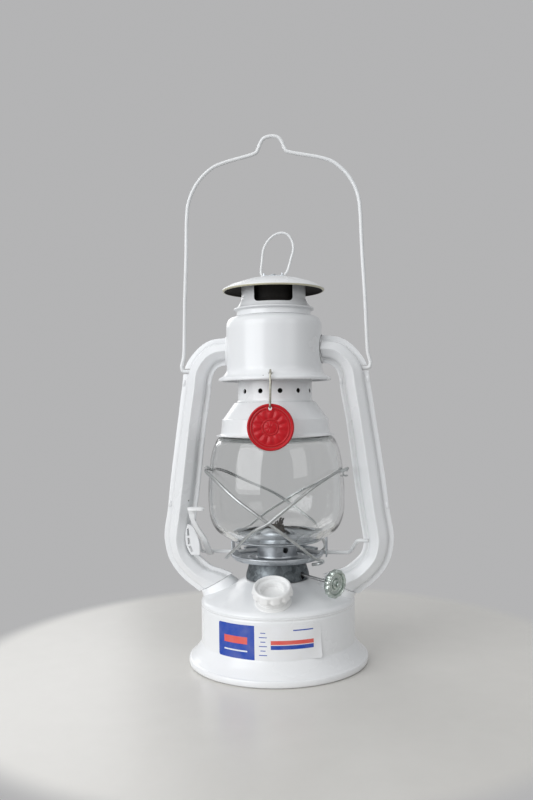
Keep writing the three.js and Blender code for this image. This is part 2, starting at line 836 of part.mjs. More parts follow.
// Plate under the globe, with two ears that hang down and hold the lift wire in closed slots
function globePlate() {
  const hub = dishNeckRadius + fit;
  const plate = turned([
    [hub, -plateHeight * 0.6],
    [hub + sheet, -plateHeight * 0.6],
    [hub + sheet, 0],
    [plateRadius - plateBead, 0],
    [plateRadius, plateHeight * 0.6],
    [plateRadius, plateHeight],
    [plateRadius - plateBead, plateHeight],
    [plateRadius - 2 * plateBead, sheet],
    [hub, sheet],
  ]);
  const slotLow = liftLevel - plateFloor - liftWire / 2 - 2 * fit;
  const slotHigh = liftLevel - plateFloor + liftWire / 2 + 2 * fit;
  const slotMiddle = (crankRadius + liftForward) / 2;
  const slotDeep = crankRadius - liftForward + liftWire + 3 * fit;
  const earFoot = slotLow - earWall;
  const ears = [1, -1].flatMap((side) => {
    const strap = block(earThickness, earWidth, sheet - earFoot);
    strap.translate(side * (earReach - earThickness / 2), slotMiddle, (sheet + earFoot) / 2);
    const tabInner = plateRadius * 0.8;
    const tab = block(earReach - tabInner, earWidth, sheet);
    return [strap, tab.translate(side * (earReach + tabInner) / 2, slotMiddle, sheet / 2)];
  });
  const slot = block(2 * earReach + overrun, slotDeep, slotHigh - slotLow);
  return cut(join(plate, ...ears), slot.translate(0, slotMiddle, (slotLow + slotHigh) / 2));
}

// Glass globe. Shares of its radius and height, from the foot up the outside
function globe() {
  const outerShares = [
    [0.785, 0.003], [0.855, 0.024], [0.923, 0.085], [0.979, 0.178], [1, 0.311], [1, 0.391],
    [0.961, 0.657], [0.907, 0.777], [0.872, 0.815], [0.785, 0.856], [0.756, 0.89],
  ];
  const innerShares = [
    [0.74, 0.032], [0.81, 0.05], [0.877, 0.104], [0.933, 0.19], [0.954, 0.311], [0.954, 0.391],
    [0.915, 0.657], [0.863, 0.765], [0.825, 0.797], [0.735, 0.84],
  ];
  const scaled = (shares) => shares.map(([r, h]) => [r * globeRadius, h * globeHeight]);
  const neckInner = globeNeckRadius - globeWall;
  return turned([
    [globeFootRadius, 0],
    ...scaled(outerShares),
    [globeNeckRadius, globeHeight * 0.93],
    [globeNeckRadius, globeHeight],
    [neckInner, globeHeight],
    [neckInner, globeHeight * 0.9],
    ...scaled(innerShares).reverse(),
    [globeFootRadius, globeWall],
  ]);
}

add('air_dish', airDish(), brightZinc(), atHeight(dishFoot));
add('burner_dome', burnerDome(), brightZinc(), atHeight(plateFloor - fit - sheet));
add('globe_plate', globePlate(), brightZinc(), atHeight(plateFloor));
add('globe', globe(), clearGlass(), atHeight(globeFoot));

// Guard wire from a low hook at one side of the dish, across the front, round the far side
// of the globe at its bend, across the back and down to a second hook.
// Shares: azimuth in half turns from the crossing, radius of the guard, rise of the guard
function guardWireOf(side, bendRadius, inset) {
  const bend = bendRadius / guardRadius;
  const halfShares = [
    [-0.32, 0.556, -0.021],
    [-0.32, 0.607, -0.005],
    [-0.32, 0.647, 0.03],
    [-0.3, 0.714, 0.073],
    [-0.25, 0.764, 0.142],
    [-0.17, 0.85, 0.272],
    [-0.085, 0.94, 0.411],
    [0, 1, 0.549],
    [0.085, 0.995, 0.672],
    [0.17, (0.98 + bend) / 2, 0.776],
    [0.28, (0.93 + bend) / 2, 0.889],
    [0.39, bend, 0.969],
    [0.5, bend, 1],
  ];
  const back = halfShares.slice(0, -1).map(([turn, radius, rise]) => [1 - turn, radius, rise]).reverse();
  const points = [...halfShares, ...back].map(([turn, radius, rise]) => {
    const reach = radius * guardRadius - (radius > 0.9 ? inset : 0);
    return around(reach, -side * turn * Math.PI, dishFoot + rise * guardRise);
  });
  return bentWire(points, guardWire, 32);
}

// Small open wire ring round a guard wire at its bend
function guardClip(side) {
  const radius = (guardWire + clipWire) / 2 + fit;
  const bendRadius = side > 0 ? guardBendRight : guardBendLeft;
  const spans = 8;
  const points = Array.from({ length: spans + 1 }, (_, i) => {
    const turn = (1 / 4 + i * 3 / 2 / spans) * Math.PI;
    return new Vector3(radius * Math.cos(turn), 0, radius * Math.sin(turn));
  });
  return bentWire(points, clipWire, 12, 5).scale(side, 1, 1).translate(side * bendRadius, 0, 0);
}

const guardTop = dishFoot + guardRise;
add('guard_wire_a', guardWireOf(1, guardBendLeft, 0), brightZinc());
add('guard_wire_b', guardWireOf(-1, guardBendRight + guardCrossing, guardCrossing), brightZinc());

// Cranked wire across the lantern. It turns in the tubes' inner seams, lifts the plate's ears
// at its crank, and passes behind the dish's neck in the middle
function liftWireShape() {
  const bend = liftWire;
  const drop = liftLevel - leverAxis;
  const half = [
    [liftPinAcross, 0, 0],
    [crankAcross + 1.6 * bend, 0, 0],
    [crankAcross + 0.4 * bend, 0, 0],
    [crankAcross, liftForward * 0.12, drop * 0.12],
    [crankAcross, liftForward * 0.82, drop * 0.82],
    [crankAcross - 0.4 * bend, liftForward, drop],
    [crankAcross - 1.6 * bend, liftForward, drop],
    [dishRadius + bend, liftForward, drop],
    [dishRadius - bend, liftForward, drop],
    [dishRadius - 2 * bend, liftForward + bend * 0.15, drop],
    [(dishRadius + liftBypassHalf) / 2 - bend / 2, (liftForward + liftBypass) / 2, drop],
    [liftBypassHalf * 0.8, liftBypass, drop],
  ];
  const other = half.map(([x, y, z]) => [-x, y, z]).reverse();
  const points = [...half, ...other].map(([x, y, z]) => new Vector3(x, y, z));
  return bentWire(points, liftWire, 44);
}

// Strip lever: it is wrapped round the lift wire's level stretch and ends in a thumb tab
function liftLever() {
  const clear = liftWire / 2 + fit;
  const drop = liftLevel - leverAxis;
  const path = [
    [liftForward + clear + leverStrip, drop],
    [liftForward + clear * 0.7, drop - clear - leverStrip],
    [liftForward - clear - leverStrip / 2, drop - clear * 0.6],
    [liftForward * 0.2, drop * 0.6],
    [-leverTabForward * 0.55, leverTabRise * 0.1],
    [-leverTabForward * 0.9, leverTabRise * 0.62],
    [-leverTabForward, leverTabRise],
    [-leverTabForward - leverStrip, leverTabRise + leverTabHeight * 0.5],
    [-leverTabForward, leverTabRise + leverTabHeight],
  ];
  const width = (i) => (i < 6 ? leverWidth : leverTabWidth);
  const outline = [[0, 0], [1, 0], [1, 1], [0, 1]].map(([u, v]) => new Vector2(u, v));
  const inner = -leverAcross + leverWidth / 2;
  const rings = path.map(([y, z], i) => {
    const [before, after] = [path[Math.max(i - 1, 0)], path[Math.min(i + 1, path.length - 1)]];
    const along = new Vector2(after[0] - before[0], after[1] - before[1]).normalize();
    return outline.map(({ x: u, y: v }) => new Vector3(
      inner - u * width(i),
      y - along.y * v * leverStrip,
      z + along.x * v * leverStrip,
    ));
  });
  return lofted(rings, outline);
}

// Flap beside the left tube that the lever runs along
function leverGuide() {
  const outer = tubeInner + guideSeat;
  const corners = [
    [-outer + guideWidth * 0.16, guideHeight],
    [-outer + guideWidth * 0.5, guideHeight * 0.96],
    [-outer + guideWidth, guideHeight * 0.42],
    [-outer + guideWidth, 0],
    [-outer + guideWidth * 0.5, 0],
    [-outer + guideWidth * 0.22, guideHeight * 0.18],
    [-outer, guideHeight * 0.5],
  ];
  const flap = new Shape(corners.map(([x, z]) => new Vector2(x, z)));
  return prism(flap, guideThickness).rotateX(quarterTurn).translate(0, -guideForward, 0);
}

add('guard_clip_left', guardClip(-1), brightZinc(), atHeight(guardTop));
add('guard_clip_right', guardClip(1), brightZinc(), atHeight(guardTop));
add('lift_wire', liftWireShape(), whiteWire(), atHeight(leverAxis));
add('lift_lever', liftLever(), whiteWire(), atHeight(leverAxis));
add('lever_guide', leverGuide(), whiteEnamel(), atHeight(liftLevel));

// Side tube between its boss and the hood. Shares of the tube's reach and of its rise:
// outer edge across and up, inner edge across and up, from the hood down
const tubeTop = hoodFoot + tubeMouthRise;
const tubeFoot = bossCentre.z - bossSpan / 2 * Math.sin(bossTilt);
const tubeRise = tubeTop - tubeFoot;
const tubeStationShares = [
  [0.568, 0.990, 0.480, 0.887],
  [0.674, 0.960, 0.525, 0.872],
  [0.789, 0.891, 0.552, 0.845],
  [0.826, 0.800, 0.569, 0.782],
  [0.861, 0.691, 0.608, 0.679],
  [0.940, 0.436, 0.680, 0.412],
  [0.969, 0.321, 0.713, 0.309],
  [0.997, 0.248, 0.738, 0.230],
  [1.000, 0.206, 0.746, 0.200],
  [0.968, 0.137, 0.722, 0.160],
  [0.902, 0.085, 0.672, 0.135],
  [0.808, 0.041, 0.580, 0.103],
  [0.748, 0.021, 0.498, 0.091],
];

function tubeHalf(side, face) {
  const archSteps = 4;
  const seam = fit / 2;
  const bodyDepth = tubeDepth - seam;
  function section(width) {
    const middle = width / 2;
    const arch = (half, depth) => Array.from({ length: archSteps - 1 }, (_, i) => {
      const turn = (i + 1) * Math.PI / archSteps;
      return [middle - half * Math.cos(turn), seam + depth * Math.sin(turn)];
    });
    const outerHalf = middle - seamWidth;
    const innerHalf = outerHalf - tubeSheet;
    return [
      [0, seam], [0, seam + tubeSheet], [seamWidth, seam + tubeSheet],
      ...arch(outerHalf, bodyDepth),
      [width - seamWidth, seam + tubeSheet], [width, seam + tubeSheet], [width, seam],
      [width - seamWidth - tubeSheet, seam],
      ...arch(innerHalf, bodyDepth - tubeSheet).reverse(),
      [seamWidth + tubeSheet, seam],
    ];
  }
  const reach = hoodRadius + fit;
  const ends = tubeStationShares.map(([a, b, c, d]) => ({
    outer: new Vector2(a * tubeReach, tubeFoot + b * tubeRise),
    inner: new Vector2(c * tubeReach, tubeFoot + d * tubeRise),
  }));
  ends.unshift({ outer: new Vector2(reach, tubeTop), inner: new Vector2(reach, tubeTop - tubeMouthSpan) });
  const landing = bossCentre.clone().addScaledVector(bossNormal, fit);
  const low = landing.clone().addScaledVector(bossAlong, bossSpan / 2);
  const high = landing.clone().addScaledVector(bossAlong, -bossSpan / 2);
  ends.push({ outer: new Vector2(low.x, low.z), inner: new Vector2(high.x, high.z) });
  const rings = ends.map(({ outer, inner }, i) => {
    const along = outer.clone().sub(inner);
    const width = along.length();
    along.divideScalar(width);
    return section(width).map(([across, deep]) => {
      const x = inner.x + along.x * across;
      const atHood = Math.sqrt(Math.max(reach ** 2 - deep ** 2, 0));
      return new Vector3(side * (i ? x : atHood), face * deep, inner.y + along.y * across);
    });
  });
  const first = section(tubeMouthSpan).map(([across, deep]) => new Vector2(across, deep));
  const shell = lofted(rings, first);
  const bores = [
    [bailPinAcross - 2 * fit, bailWire / 2 + 3 * fit, bailPivot],
    [crankAcross + liftWire / 2, liftWire / 2 + fit, leverAxis],
  ].map(([from, radius, height], i) => {
    const length = i ? liftPinAcross - from + fit : overrun + bailHalfWidth - from;
    const bore = pillar(radius, length, 8).rotateY(quarterTurn).translate(from, 0, height);
    return bore.scale(side, 1, 1);
  });
  return cut(shell, ...bores);
}

for (const [sideName, side] of [['left', -1], ['right', 1]]) {
  for (const [faceName, face] of [['front', -1], ['back', 1]]) {
    add(`${sideName}_tube_${faceName}`, tubeHalf(side, face), whiteEnamel());
  }
}

// Bell over the globe's top edge, with a ring of vents in its neck
function bell() {
  const shoulder = bellLipDrop;
  const throat = shoulder + bellThroatRise;
  const neckFoot = throat + fit;
  const top = bellNeckTop - bellFoot;
  const skirt = turned([
    [bellLipRadius, 0],
    [bellLipRadius, bellSheet],
    [bellWallRadius + bellSheet, 2 * bellSheet],
    [bellWallRadius, 4 * bellSheet],
    [bellShoulderRadius, shoulder - fit],
    [bellThroatRadius, throat],
    [bellNeckRadius + bellSheet, throat + 3 * bellSheet],
    [bellNeckRadius, throat + 5 * bellSheet],
    [bellNeckRadius, top],
    [bellNeckRadius - bellSheet, top],
    [bellNeckRadius - bellSheet, throat + 4 * bellSheet],
    [bellThroatRadius - bellSheet, throat - bellSheet * 0.6],
    [bellShoulderRadius - bellSheet, shoulder + bellSheet * 0.6],
    [bellWallRadius - bellSheet, 4 * bellSheet],
    [bellWallRadius - bellSheet, 0],
  ]);
  const vents = Array.from({ length: ventCount / 2 }, (_, i) => {
    const turn = ventTurn + i * 2 * Math.PI / ventCount;
    const drill = pillar(ventRadius, 2 * (bellNeckRadius + overrun), 6);
    drill.translate(0, 0, -bellNeckRadius - overrun).rotateX(quarterTurn).rotateZ(turn);
    return drill.translate(0, 0, neckFoot + ventRise);
  });
  return cut(skirt, ...vents);
}

// Flue that slides in the hood's top opening and stands on the bell's neck by a flange
function chimneyTube() {
  const bore = flueRadius - sheet;
  const flange = bellNeckRadius;
  const foot = bellNeckTop + fit;
  const top = cageFoot + flueTopRise - foot;
  return turned([
    [bore, -flueSpigot],
    [flueRadius, -flueSpigot],
    [flueRadius, 0],
    [flange, 0],
    [flange, sheet],
    [flueRadius, sheet],
    [flueRadius, top],
    [bore, top],
  ]);
}

// Compression spring round the flue, from the flue's flange to the underside of the hood's top
function hoodSpring() {
  const coilRadius = (flueRadius + fit) / Math.cos(Math.PI / springStepsPerTurn) + springWire / 2;
  const foot = springWire / 2 + fit;
  const top = hoodTop - sheet - fit - springWire / 2 - (bellNeckTop + fit + sheet);
  const steps = springTurns * springStepsPerTurn;
  const rings = [];
  const outline = roundSection(springWire / 2, springSides).getPoints().slice(0, springSides);
  const leastGap = (top - foot) / springTurns - springWire;
  for (let i = 0; i <= steps; i += 1) {
    const turn = i * 2 * Math.PI / springStepsPerTurn;
    const height = foot + (top - foot) * i / steps;
    rings.push(outline.map(({ x, y }) => around(coilRadius + x, turn, height + y)));
  }
  console.log(`hood_spring least gap between turns ${leastGap.toFixed(2)} mm`);
  return lofted(rings, outline);
}

// Hood: flanged lip, drum, rounded shoulder, side mouths for the tubes, a hole for the flue
// and a small hole in the flange for the hook
function hood() {
  const flare = hoodLipRadius - hoodRadius;
  const shoulderFootHeight = hoodHeight - hoodShoulderDrop;
  const inner = hoodRadius - sheet;
  const drum = turned([
    [hoodLipRadius - 1.2 * sheet, 0],
    [hoodLipRadius, fit],
    [hoodLipRadius, hoodLipHeight],
    [hoodLipRadius - sheet, hoodLipHeight + sheet],
    [hoodRadius + flare * 0.1, hoodFlareHeight * 0.78],
    [hoodRadius, hoodFlareHeight],
    [hoodRadius, shoulderFootHeight],
    [hoodRadius - hoodShoulderReach * 0.3, hoodHeight - hoodShoulderDrop * 0.36],
    [hoodRadius - hoodShoulderReach, hoodHeight],
    [flueRadius + fit, hoodHeight],
    [flueRadius + fit, hoodHeight - sheet],
    [inner - hoodShoulderReach, hoodHeight - sheet],
    [inner - hoodShoulderReach * 0.3, hoodHeight - sheet - hoodShoulderDrop * 0.36],
    [inner, shoulderFootHeight],
    [inner, hoodFlareHeight - sheet / 2],
    [hoodRadius + flare * 0.1 - sheet / 2, hoodFlareHeight * 0.78 - sheet],
    [hoodLipRadius - 1.6 * sheet, hoodLipHeight],
  ]);
  const mouthHalf = tubeMouthSpan / 2 - seamWidth - sheet;
  const mouthMiddle = tubeMouthRise - tubeMouthSpan / 2;
  const mouth = prism(ellipse(mouthHalf, tubeDepth - 2 * sheet), 2 * (hoodRadius + overrun), 5);
  mouth.translate(0, 0, -hoodRadius - overrun).rotateY(quarterTurn).translate(0, 0, mouthMiddle);
  const hole = pillar(hookHoleRadius, 2 * hoodLipHeight + overrun, 8);
  const holePlace = around(hookHoleAcross, tagAzimuth, hookHoleRise - 2 * hoodLipHeight);
  return cut(drum, mouth, hole.translate(holePlace.x, holePlace.y, holePlace.z));
}

// Windowed cage on the flue: band, bead and three wide posts under the canopy
function chimneyCage() {
  const thin = sheet;
  const postInner = cagePostRadius - thin;
  const bandInner = cageRadius - thin;
  const body = turned([
    [flueRadius + fit, 0],
    [cageRadius, 0],
    [cageRadius, cageBandHeight],
    [cageBeadRadius, cageBandHeight + thin],
    [cageBeadRadius, cageBandHeight + 2 * thin],
    [cageRadius - thin, windowSill - thin],
    [cagePostRadius + thin / 2, (windowSill + cageTaperRise) / 2],
    [cagePostRadius, cageTaperRise],
    [cagePostRadius, cageHeight],
    [postInner, cageHeight],
    [postInner, cageTaperRise],
    [postInner + thin / 2, (windowSill + cageTaperRise) / 2 - thin / 2],
    [bandInner - thin, windowSill - 2 * thin],
    [bandInner, cageBandHeight],
    [bandInner, thin],
    [flueRadius + fit, thin],
  ]);
  const reach = cageBeadRadius + overrun;
  const halfWidth = Math.sin(windowHalfAngle) * cagePostRadius;
  const opening = new Shape([
    new Vector2(-halfWidth, windowSill + windowCorner),
    new Vector2(-halfWidth + windowCorner * 0.3, windowSill + windowCorner * 0.3),
    new Vector2(-halfWidth + windowCorner, windowSill),
    new Vector2(halfWidth - windowCorner, windowSill),
    new Vector2(halfWidth - windowCorner * 0.3, windowSill + windowCorner * 0.3),
    new Vector2(halfWidth, windowSill + windowCorner),
    new Vector2(halfWidth, windowSill + windowHeight),
    new Vector2(-halfWidth, windowSill + windowHeight),
  ]);
  const windows = [0, 1, 2].map((i) => {
    const cutter = prism(opening, reach).rotateX(quarterTurn);
    return cutter.rotateZ(windowTurn + i * 2 * Math.PI / 3);
  });
  return cut(body, ...windows);
}

function canopy() {
  const inner = canopyHeight - sheet;
  const dome = turned([
    [canopyRadius - canopyBead, 0],
    [canopyRadius - canopyBead * 0.3, 0],
    [canopyRadius, canopyBead * 0.5],
    [canopyRadius - canopyBead * 0.4, canopyBead],
    [canopyRadius * 0.88, canopyHeight * 0.39],
    [canopyRadius * 0.7, canopyHeight * 0.63],
    [canopyRadius * 0.46, canopyHeight * 0.84],
    [canopyRadius * 0.22, canopyHeight * 0.96],
    [0, canopyHeight],
    [0, inner],
    [canopyRadius * 0.22, inner - canopyHeight * 0.04],
    [canopyRadius * 0.46, inner - canopyHeight * 0.16],
    [canopyRadius * 0.7, inner - canopyHeight * 0.37],
    [canopyRadius * 0.88, inner - canopyHeight * 0.61],
    [canopyRadius - canopyBead, canopyBead * 0.7],
  ]);
  const rivetHole = pillar(rivetShankRadius + fit, 2 * overrun, 8);
  return cut(dome, rivetHole.translate(0, 0, canopyHeight - overrun));
}

// Strap on the canopy's crown with an upright pierced ear at each end
function ringBracket() {
  const axis = ringAxisRise - fit;
  const strap = block(2 * bracketHalfLength, bracketWidth, sheet).translate(0, 0, sheet / 2);
  const ears = [1, -1].map((side) => {
    const ear = block(sheet, bracketWidth, bracketEarHeight);
    return ear.translate(side * (bracketHalfLength - sheet / 2), 0, bracketEarHeight / 2);
  });
  const bore = pillar(ringWire / 2 + fit, 2 * (bracketHalfLength + overrun), 8);
  bore.translate(0, 0, -bracketHalfLength - overrun).rotateY(quarterTurn).translate(0, 0, axis);
  const middle = pillar(rivetShankRadius + fit, overrun, 8).translate(0, 0, -overrun / 2);
  return cut(join(strap, ...ears), bore, middle);
}

// Rivet through the strap and the canopy, headed above and clenched below
function ringRivet() {
  const below = fit + sheet + fit;
  const tail = -below - rivetHeadHeight;
  return turned([
    [0, tail],
    [rivetHeadRadius, tail],
    [rivetHeadRadius, -below],
    [rivetShankRadius, -below],
    [rivetShankRadius, sheet + fit],
    [rivetHeadRadius, sheet + fit],
    [rivetHeadRadius * 0.7, sheet + fit + rivetHeadHeight * 0.7],
    [0, sheet + fit + rivetHeadHeight],
  ], 12);
}

// Finger ring, bowed and leaning as on the old lantern. Shares of its half width and height
function fingerRing() {
  const pinEnd = bracketHalfLength - sheet * 1.5;
  const loopShares = [
    [-1, 0.06], [-0.92, 0.34], [-0.78, 0.62], [-0.4, 0.82], [0.2, 0.96], [0.79, 1],
    [1.29, 0.945], [1.62, 0.8], [1.73, 0.61], [1.51, 0.38], [1.24, 0.13], [1.06, 0.05],
  ];
  const points = [
    new Vector3(-pinEnd, 0, 0),
    new Vector3(-ringHalfWidth + ringWire, 0, 0),
    ...loopShares.map(([x, z]) => new Vector3(x * ringHalfWidth, 0, z * ringHeight)),
    new Vector3(ringHalfWidth - ringWire * 0.8, 0, 0),
    new Vector3(pinEnd, 0, 0),
  ];
  return bentWire(points, ringWire, 34, 5);
}

// Carrying handle. Shares of its half width and rise, from a pivot to the hanging notch
function bail() {
  const bend = bailWire * 0.9;
  const halfShares = [
    [0.999, 0.018], [0.992, 0.035], [0.976, 0.063], [0.965, 0.16], [0.955, 0.3], [0.932, 0.51],
    [0.921, 0.662], [0.903, 0.724], [0.856, 0.777], [0.77, 0.83], [0.639, 0.876],
    [0.502, 0.897], [0.34, 0.912], [0.211, 0.924], [0.162, 0.935], [0.122, 0.959],
    [0.07, 0.988],
  ];
  const half = [
    [bailPinAcross, 0],
    [bailHalfWidth - 1.5 * bend, 0],
    [bailHalfWidth - bend, 0],
    [bailHalfWidth - bend * 0.28, bend * 0.3],
    ...halfShares.map(([x, z]) => [x * bailHalfWidth, z * bailRise]),
  ];
  const right = half.map(([x, z]) => new Vector3(x, 0, z));
  const left = half.map(([x, z]) => new Vector3(-x, 0, z)).reverse();
  return bentWire([...right, new Vector3(0, 0, bailRise), ...left], bailWire, 56);
}

// Narrow closed wire loop through the hood's flange. Across and down from the flange's hole
function tagHook() {
  const clear = hookWire / 2 + fit;
  const outside = hoodLipRadius - hookHoleAcross + clear;
  const hang = medallionAcross - hookHoleAcross;
  const half = (medallionPlate + hookWire) / 2 + fit;
  const path = [
    [hang + 0.3 * half, -hookDrop],
    [hang - 0.9 * half, -hookDrop + 0.3 * half],
    [hang - 1.6 * half, -hookDrop * 0.92],
    [hang * 0.7, -hookDrop * 0.83],
    [hang * 0.33, -hookDrop * 0.375],
    [hang * 0.1, -hookDrop * 0.225],
    [hang * 0.02, -hookDrop * 0.1],
    [0, hookWire * 1.2],
    [outside * 0.3, hookWire * 2.6],
    [outside * 0.75, hookWire * 2.2],
    [outside + clear * 0.4, -hookWire],
    [outside + clear * 0.9, -hookDrop * 0.3],
    [hang * 0.9, -hookDrop * 0.68],
    [hang + 1.4 * half, -hookDrop * 0.9],
    [hang + 1.3 * half, -hookDrop + 0.3 * half],
    [hang + 0.75 * half, -hookDrop],
  ];
  const points = path.map(([across, up]) => new Vector3(0, -across, up));
  return bentWire(points, hookWire, 32, 5);
}

// Round tag with a raised rim and a hole that it hangs by
function medallion() {
  const flat = medallionRim / 2;
  const rimInner = medallionRadius - medallionRimWidth;
  const back = flat - medallionPlate / 2;
  const disc = turned([
    [0, -flat + back],
    [rimInner - back, -flat + back],
    [rimInner, -flat],
    [medallionRadius - back, -flat],
    [medallionRadius, -flat + back],
    [medallionRadius, flat - back],
    [medallionRadius - back, flat],
    [rimInner, flat],
    [rimInner - back, flat - back],
    [0, flat - back],
  ]).rotateX(quarterTurn);
  const drop = medallionRadius - medallionHoleInset;
  const hole = pillar(medallionHoleRadius, 2 * overrun, 8).translate(0, 0, -overrun).rotateX(quarterTurn);
  return cut(disc, hole.translate(0, 0, drop));
}

const flueFoot = bellNeckTop + fit;
add('bell', bell(), whiteEnamel(), atHeight(bellFoot));
add('chimney_tube', chimneyTube(), plainSteel(), atHeight(flueFoot));
add('hood_spring', hoodSpring(), plainSteel(), atHeight(flueFoot + sheet));
add('hood', hood(), whiteEnamel(), atHeight(hoodFoot));
add('chimney_cage', chimneyCage(), whiteEnamel(), atHeight(cageFoot));
add('canopy', canopy(), whiteEnamel(), atHeight(canopyRim));
add('ring_bracket', ringBracket(), plainSteel(), atHeight(canopyCrown + fit));
add('ring_rivet', ringRivet(), plainSteel(), atHeight(canopyCrown + fit));
add('finger_ring', fingerRing(), whiteWire(), atHeight(ringAxis));
add('bail', bail(), whiteWire(), atHeight(bailPivot));

const tag = new THREE.Group();
tag.rotation.z = tagAzimuth;
lantern.add(tag);
const hookPlace = new Vector3(0, -hookHoleAcross, hoodFoot + hookHoleRise);
const medallionDrop = hookDrop + medallionHang + medallionRadius - medallionHoleInset;
const medallionPlace = new Vector3(0, -medallionAcross, hookPlace.z - medallionDrop);
add('tag_hook', tagHook(), brightZinc(), hookPlace, tag);
add('medallion', medallion(), redEnamel(), medallionPlace, tag);

export default lantern;
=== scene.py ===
# %% [markdown]
# # A small hurricane lantern
# This notebook dresses the plain solids of a tubular kerosene lantern. The tank carries two
# side tubes, the tubes carry the hood, and a glass globe sits on a plate that a lever lifts.
# Each step first says what a piece is on the real lantern, how it could be made in Blender,
# and why it is made as it is. Lengths are written in millimetres and scaled once.

# %% Load the frame
import math

import bmesh
import bpy
from mathutils import Matrix, Vector, noise


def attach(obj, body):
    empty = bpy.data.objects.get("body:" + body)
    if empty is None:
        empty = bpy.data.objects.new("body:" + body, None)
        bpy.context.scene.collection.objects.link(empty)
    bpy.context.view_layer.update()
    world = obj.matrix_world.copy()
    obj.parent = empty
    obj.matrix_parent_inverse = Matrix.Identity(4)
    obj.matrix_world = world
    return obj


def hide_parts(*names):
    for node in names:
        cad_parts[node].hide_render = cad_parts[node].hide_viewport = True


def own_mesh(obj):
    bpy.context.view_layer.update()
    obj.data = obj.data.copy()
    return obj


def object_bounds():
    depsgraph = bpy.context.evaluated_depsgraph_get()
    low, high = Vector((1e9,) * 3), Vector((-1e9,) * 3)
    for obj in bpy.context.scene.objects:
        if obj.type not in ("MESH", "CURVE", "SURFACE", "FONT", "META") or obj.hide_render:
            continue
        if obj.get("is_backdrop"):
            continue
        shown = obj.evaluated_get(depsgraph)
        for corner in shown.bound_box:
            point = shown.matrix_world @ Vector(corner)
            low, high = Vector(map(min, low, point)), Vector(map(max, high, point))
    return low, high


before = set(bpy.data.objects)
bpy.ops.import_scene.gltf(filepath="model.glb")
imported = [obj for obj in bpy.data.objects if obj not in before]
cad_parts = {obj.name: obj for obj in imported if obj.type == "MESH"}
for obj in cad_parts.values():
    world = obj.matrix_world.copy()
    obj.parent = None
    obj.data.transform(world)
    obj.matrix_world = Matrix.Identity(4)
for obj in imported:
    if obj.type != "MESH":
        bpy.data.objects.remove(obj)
cad_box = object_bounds()
MM = 0.001
print("solids in the frame:", len(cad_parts))

# %% [markdown]
# ## Camera
# The picture was taken a little to the right of the lantern's front, from about half its
# height. A camera can be turned by angles or by its own axes. Here the axes are worked out
# from the heading, the tilt and a slight roll, because then each number has one plain
# meaning. The camera stands only half a metre away, which makes the near foot look broad.

# %% Camera at the photograph's place
camera_place = Vector((70.1, -511.5, 162.9)) * MM
heading, tilt, roll = (math.radians(angle) for angle in (7.8, 0.44, -0.87))
PICTURE_HEIGHT, FOCAL_PIXELS, SIDE_SHIFT = 800, 797, -8.59

forward = Vector((-math.sin(heading) * math.cos(tilt), math.cos(heading) * math.cos(tilt), math.sin(tilt)))
level = forward.cross(Vector((0, 0, 1))).normalized()
upright = level.cross(forward)
right = level * math.cos(roll) + upright * math.sin(roll)
up = upright * math.cos(roll) - level * math.sin(roll)

lens = bpy.data.cameras.new("camera")
lens.sensor_width = 36
lens.lens = lens.sensor_width * FOCAL_PIXELS / PICTURE_HEIGHT
lens.shift_x = SIDE_SHIFT / PICTURE_HEIGHT
lens.clip_start = 0.01
camera = bpy.data.objects.new("camera", lens)
scene = bpy.context.scene
scene.collection.objects.link(camera)
camera.matrix_world = Matrix((
    (right.x, up.x, -forward.x, camera_place.x),
    (right.y, up.y, -forward.y, camera_place.y),
    (right.z, up.z, -forward.z, camera_place.z),
    (0, 0, 0, 1),
))
bpy.context.scene.camera = camera
scene.view_settings.view_transform = "Standard"
print("lens", round(lens.lens, 2), "mm")

# %% [markdown]
# ## Small helpers for materials
# Blender's materials are graphs of nodes. Adding them one call at a time is long, so one
# helper makes a node with its settings and its inputs, and another starts a node group with
# named inputs and outputs. A group is built once and placed in each finish that needs it.
# The nodes that come up again and again, sums, mixed colours, noise and ranges, have short
# helpers of their own, so that a finish reads like a list of what is done to it.

# %% Node helpers
VALUE, COLOUR = "NodeSocketFloat", "NodeSocketColor"


def rgb(red, green, blue):
    return (red, green, blue, 1)


def set_input(tree, socket, value):
    """Links another node's output to a socket, or writes a plain value on it."""
    if isinstance(value, bpy.types.NodeSocket):
        tree.links.new(value, socket)
    else:
        socket.default_value = value


def add_node(tree, kind, inputs=None, **settings):
    made = tree.nodes.new(kind)
    for key, value in settings.items():
        setattr(made, key, value)
    for key, value in (inputs or {}).items():
        set_input(tree, made.inputs[key], value)
    return made


def start_group(name, inputs, outputs):
    tree = bpy.data.node_groups.new(name, "ShaderNodeTree")
    for label, kind, value in inputs:
        tree.interface.new_socket(label, in_out="INPUT", socket_type=kind).default_value = value
    for label, kind in outputs:
        tree.interface.new_socket(label, in_out="OUTPUT", socket_type=kind)
    return tree, tree.nodes.new("NodeGroupInput").outputs, tree.nodes.new("NodeGroupOutput")


def place_group(tree, name, **inputs):
    placed = tree.nodes.new("ShaderNodeGroup")
    placed.node_tree = bpy.data.node_groups[name]
    for key, value in inputs.items():
        set_input(tree, placed.inputs[key.replace("_", " ")], value)
    return placed.outputs


def calc(tree, operation, *values, clamp=False):
    """One Math node: its operation and up to three values."""
    inputs = dict(enumerate(values))
    return add_node(tree, "ShaderNodeMath", inputs, operation=operation, use_clamp=clamp).outputs[0]


def mix_colours(tree, share, first, second):
    return add_node(tree, "ShaderNodeMix", {0: share, 6: first, 7: second}, data_type="RGBA").outputs[2]


def mix_shaders(tree, share, first, second):
    return add_node(tree, "ShaderNodeMixShader", {0: share, 1: first.outputs[0], 2: second.outputs[0]})


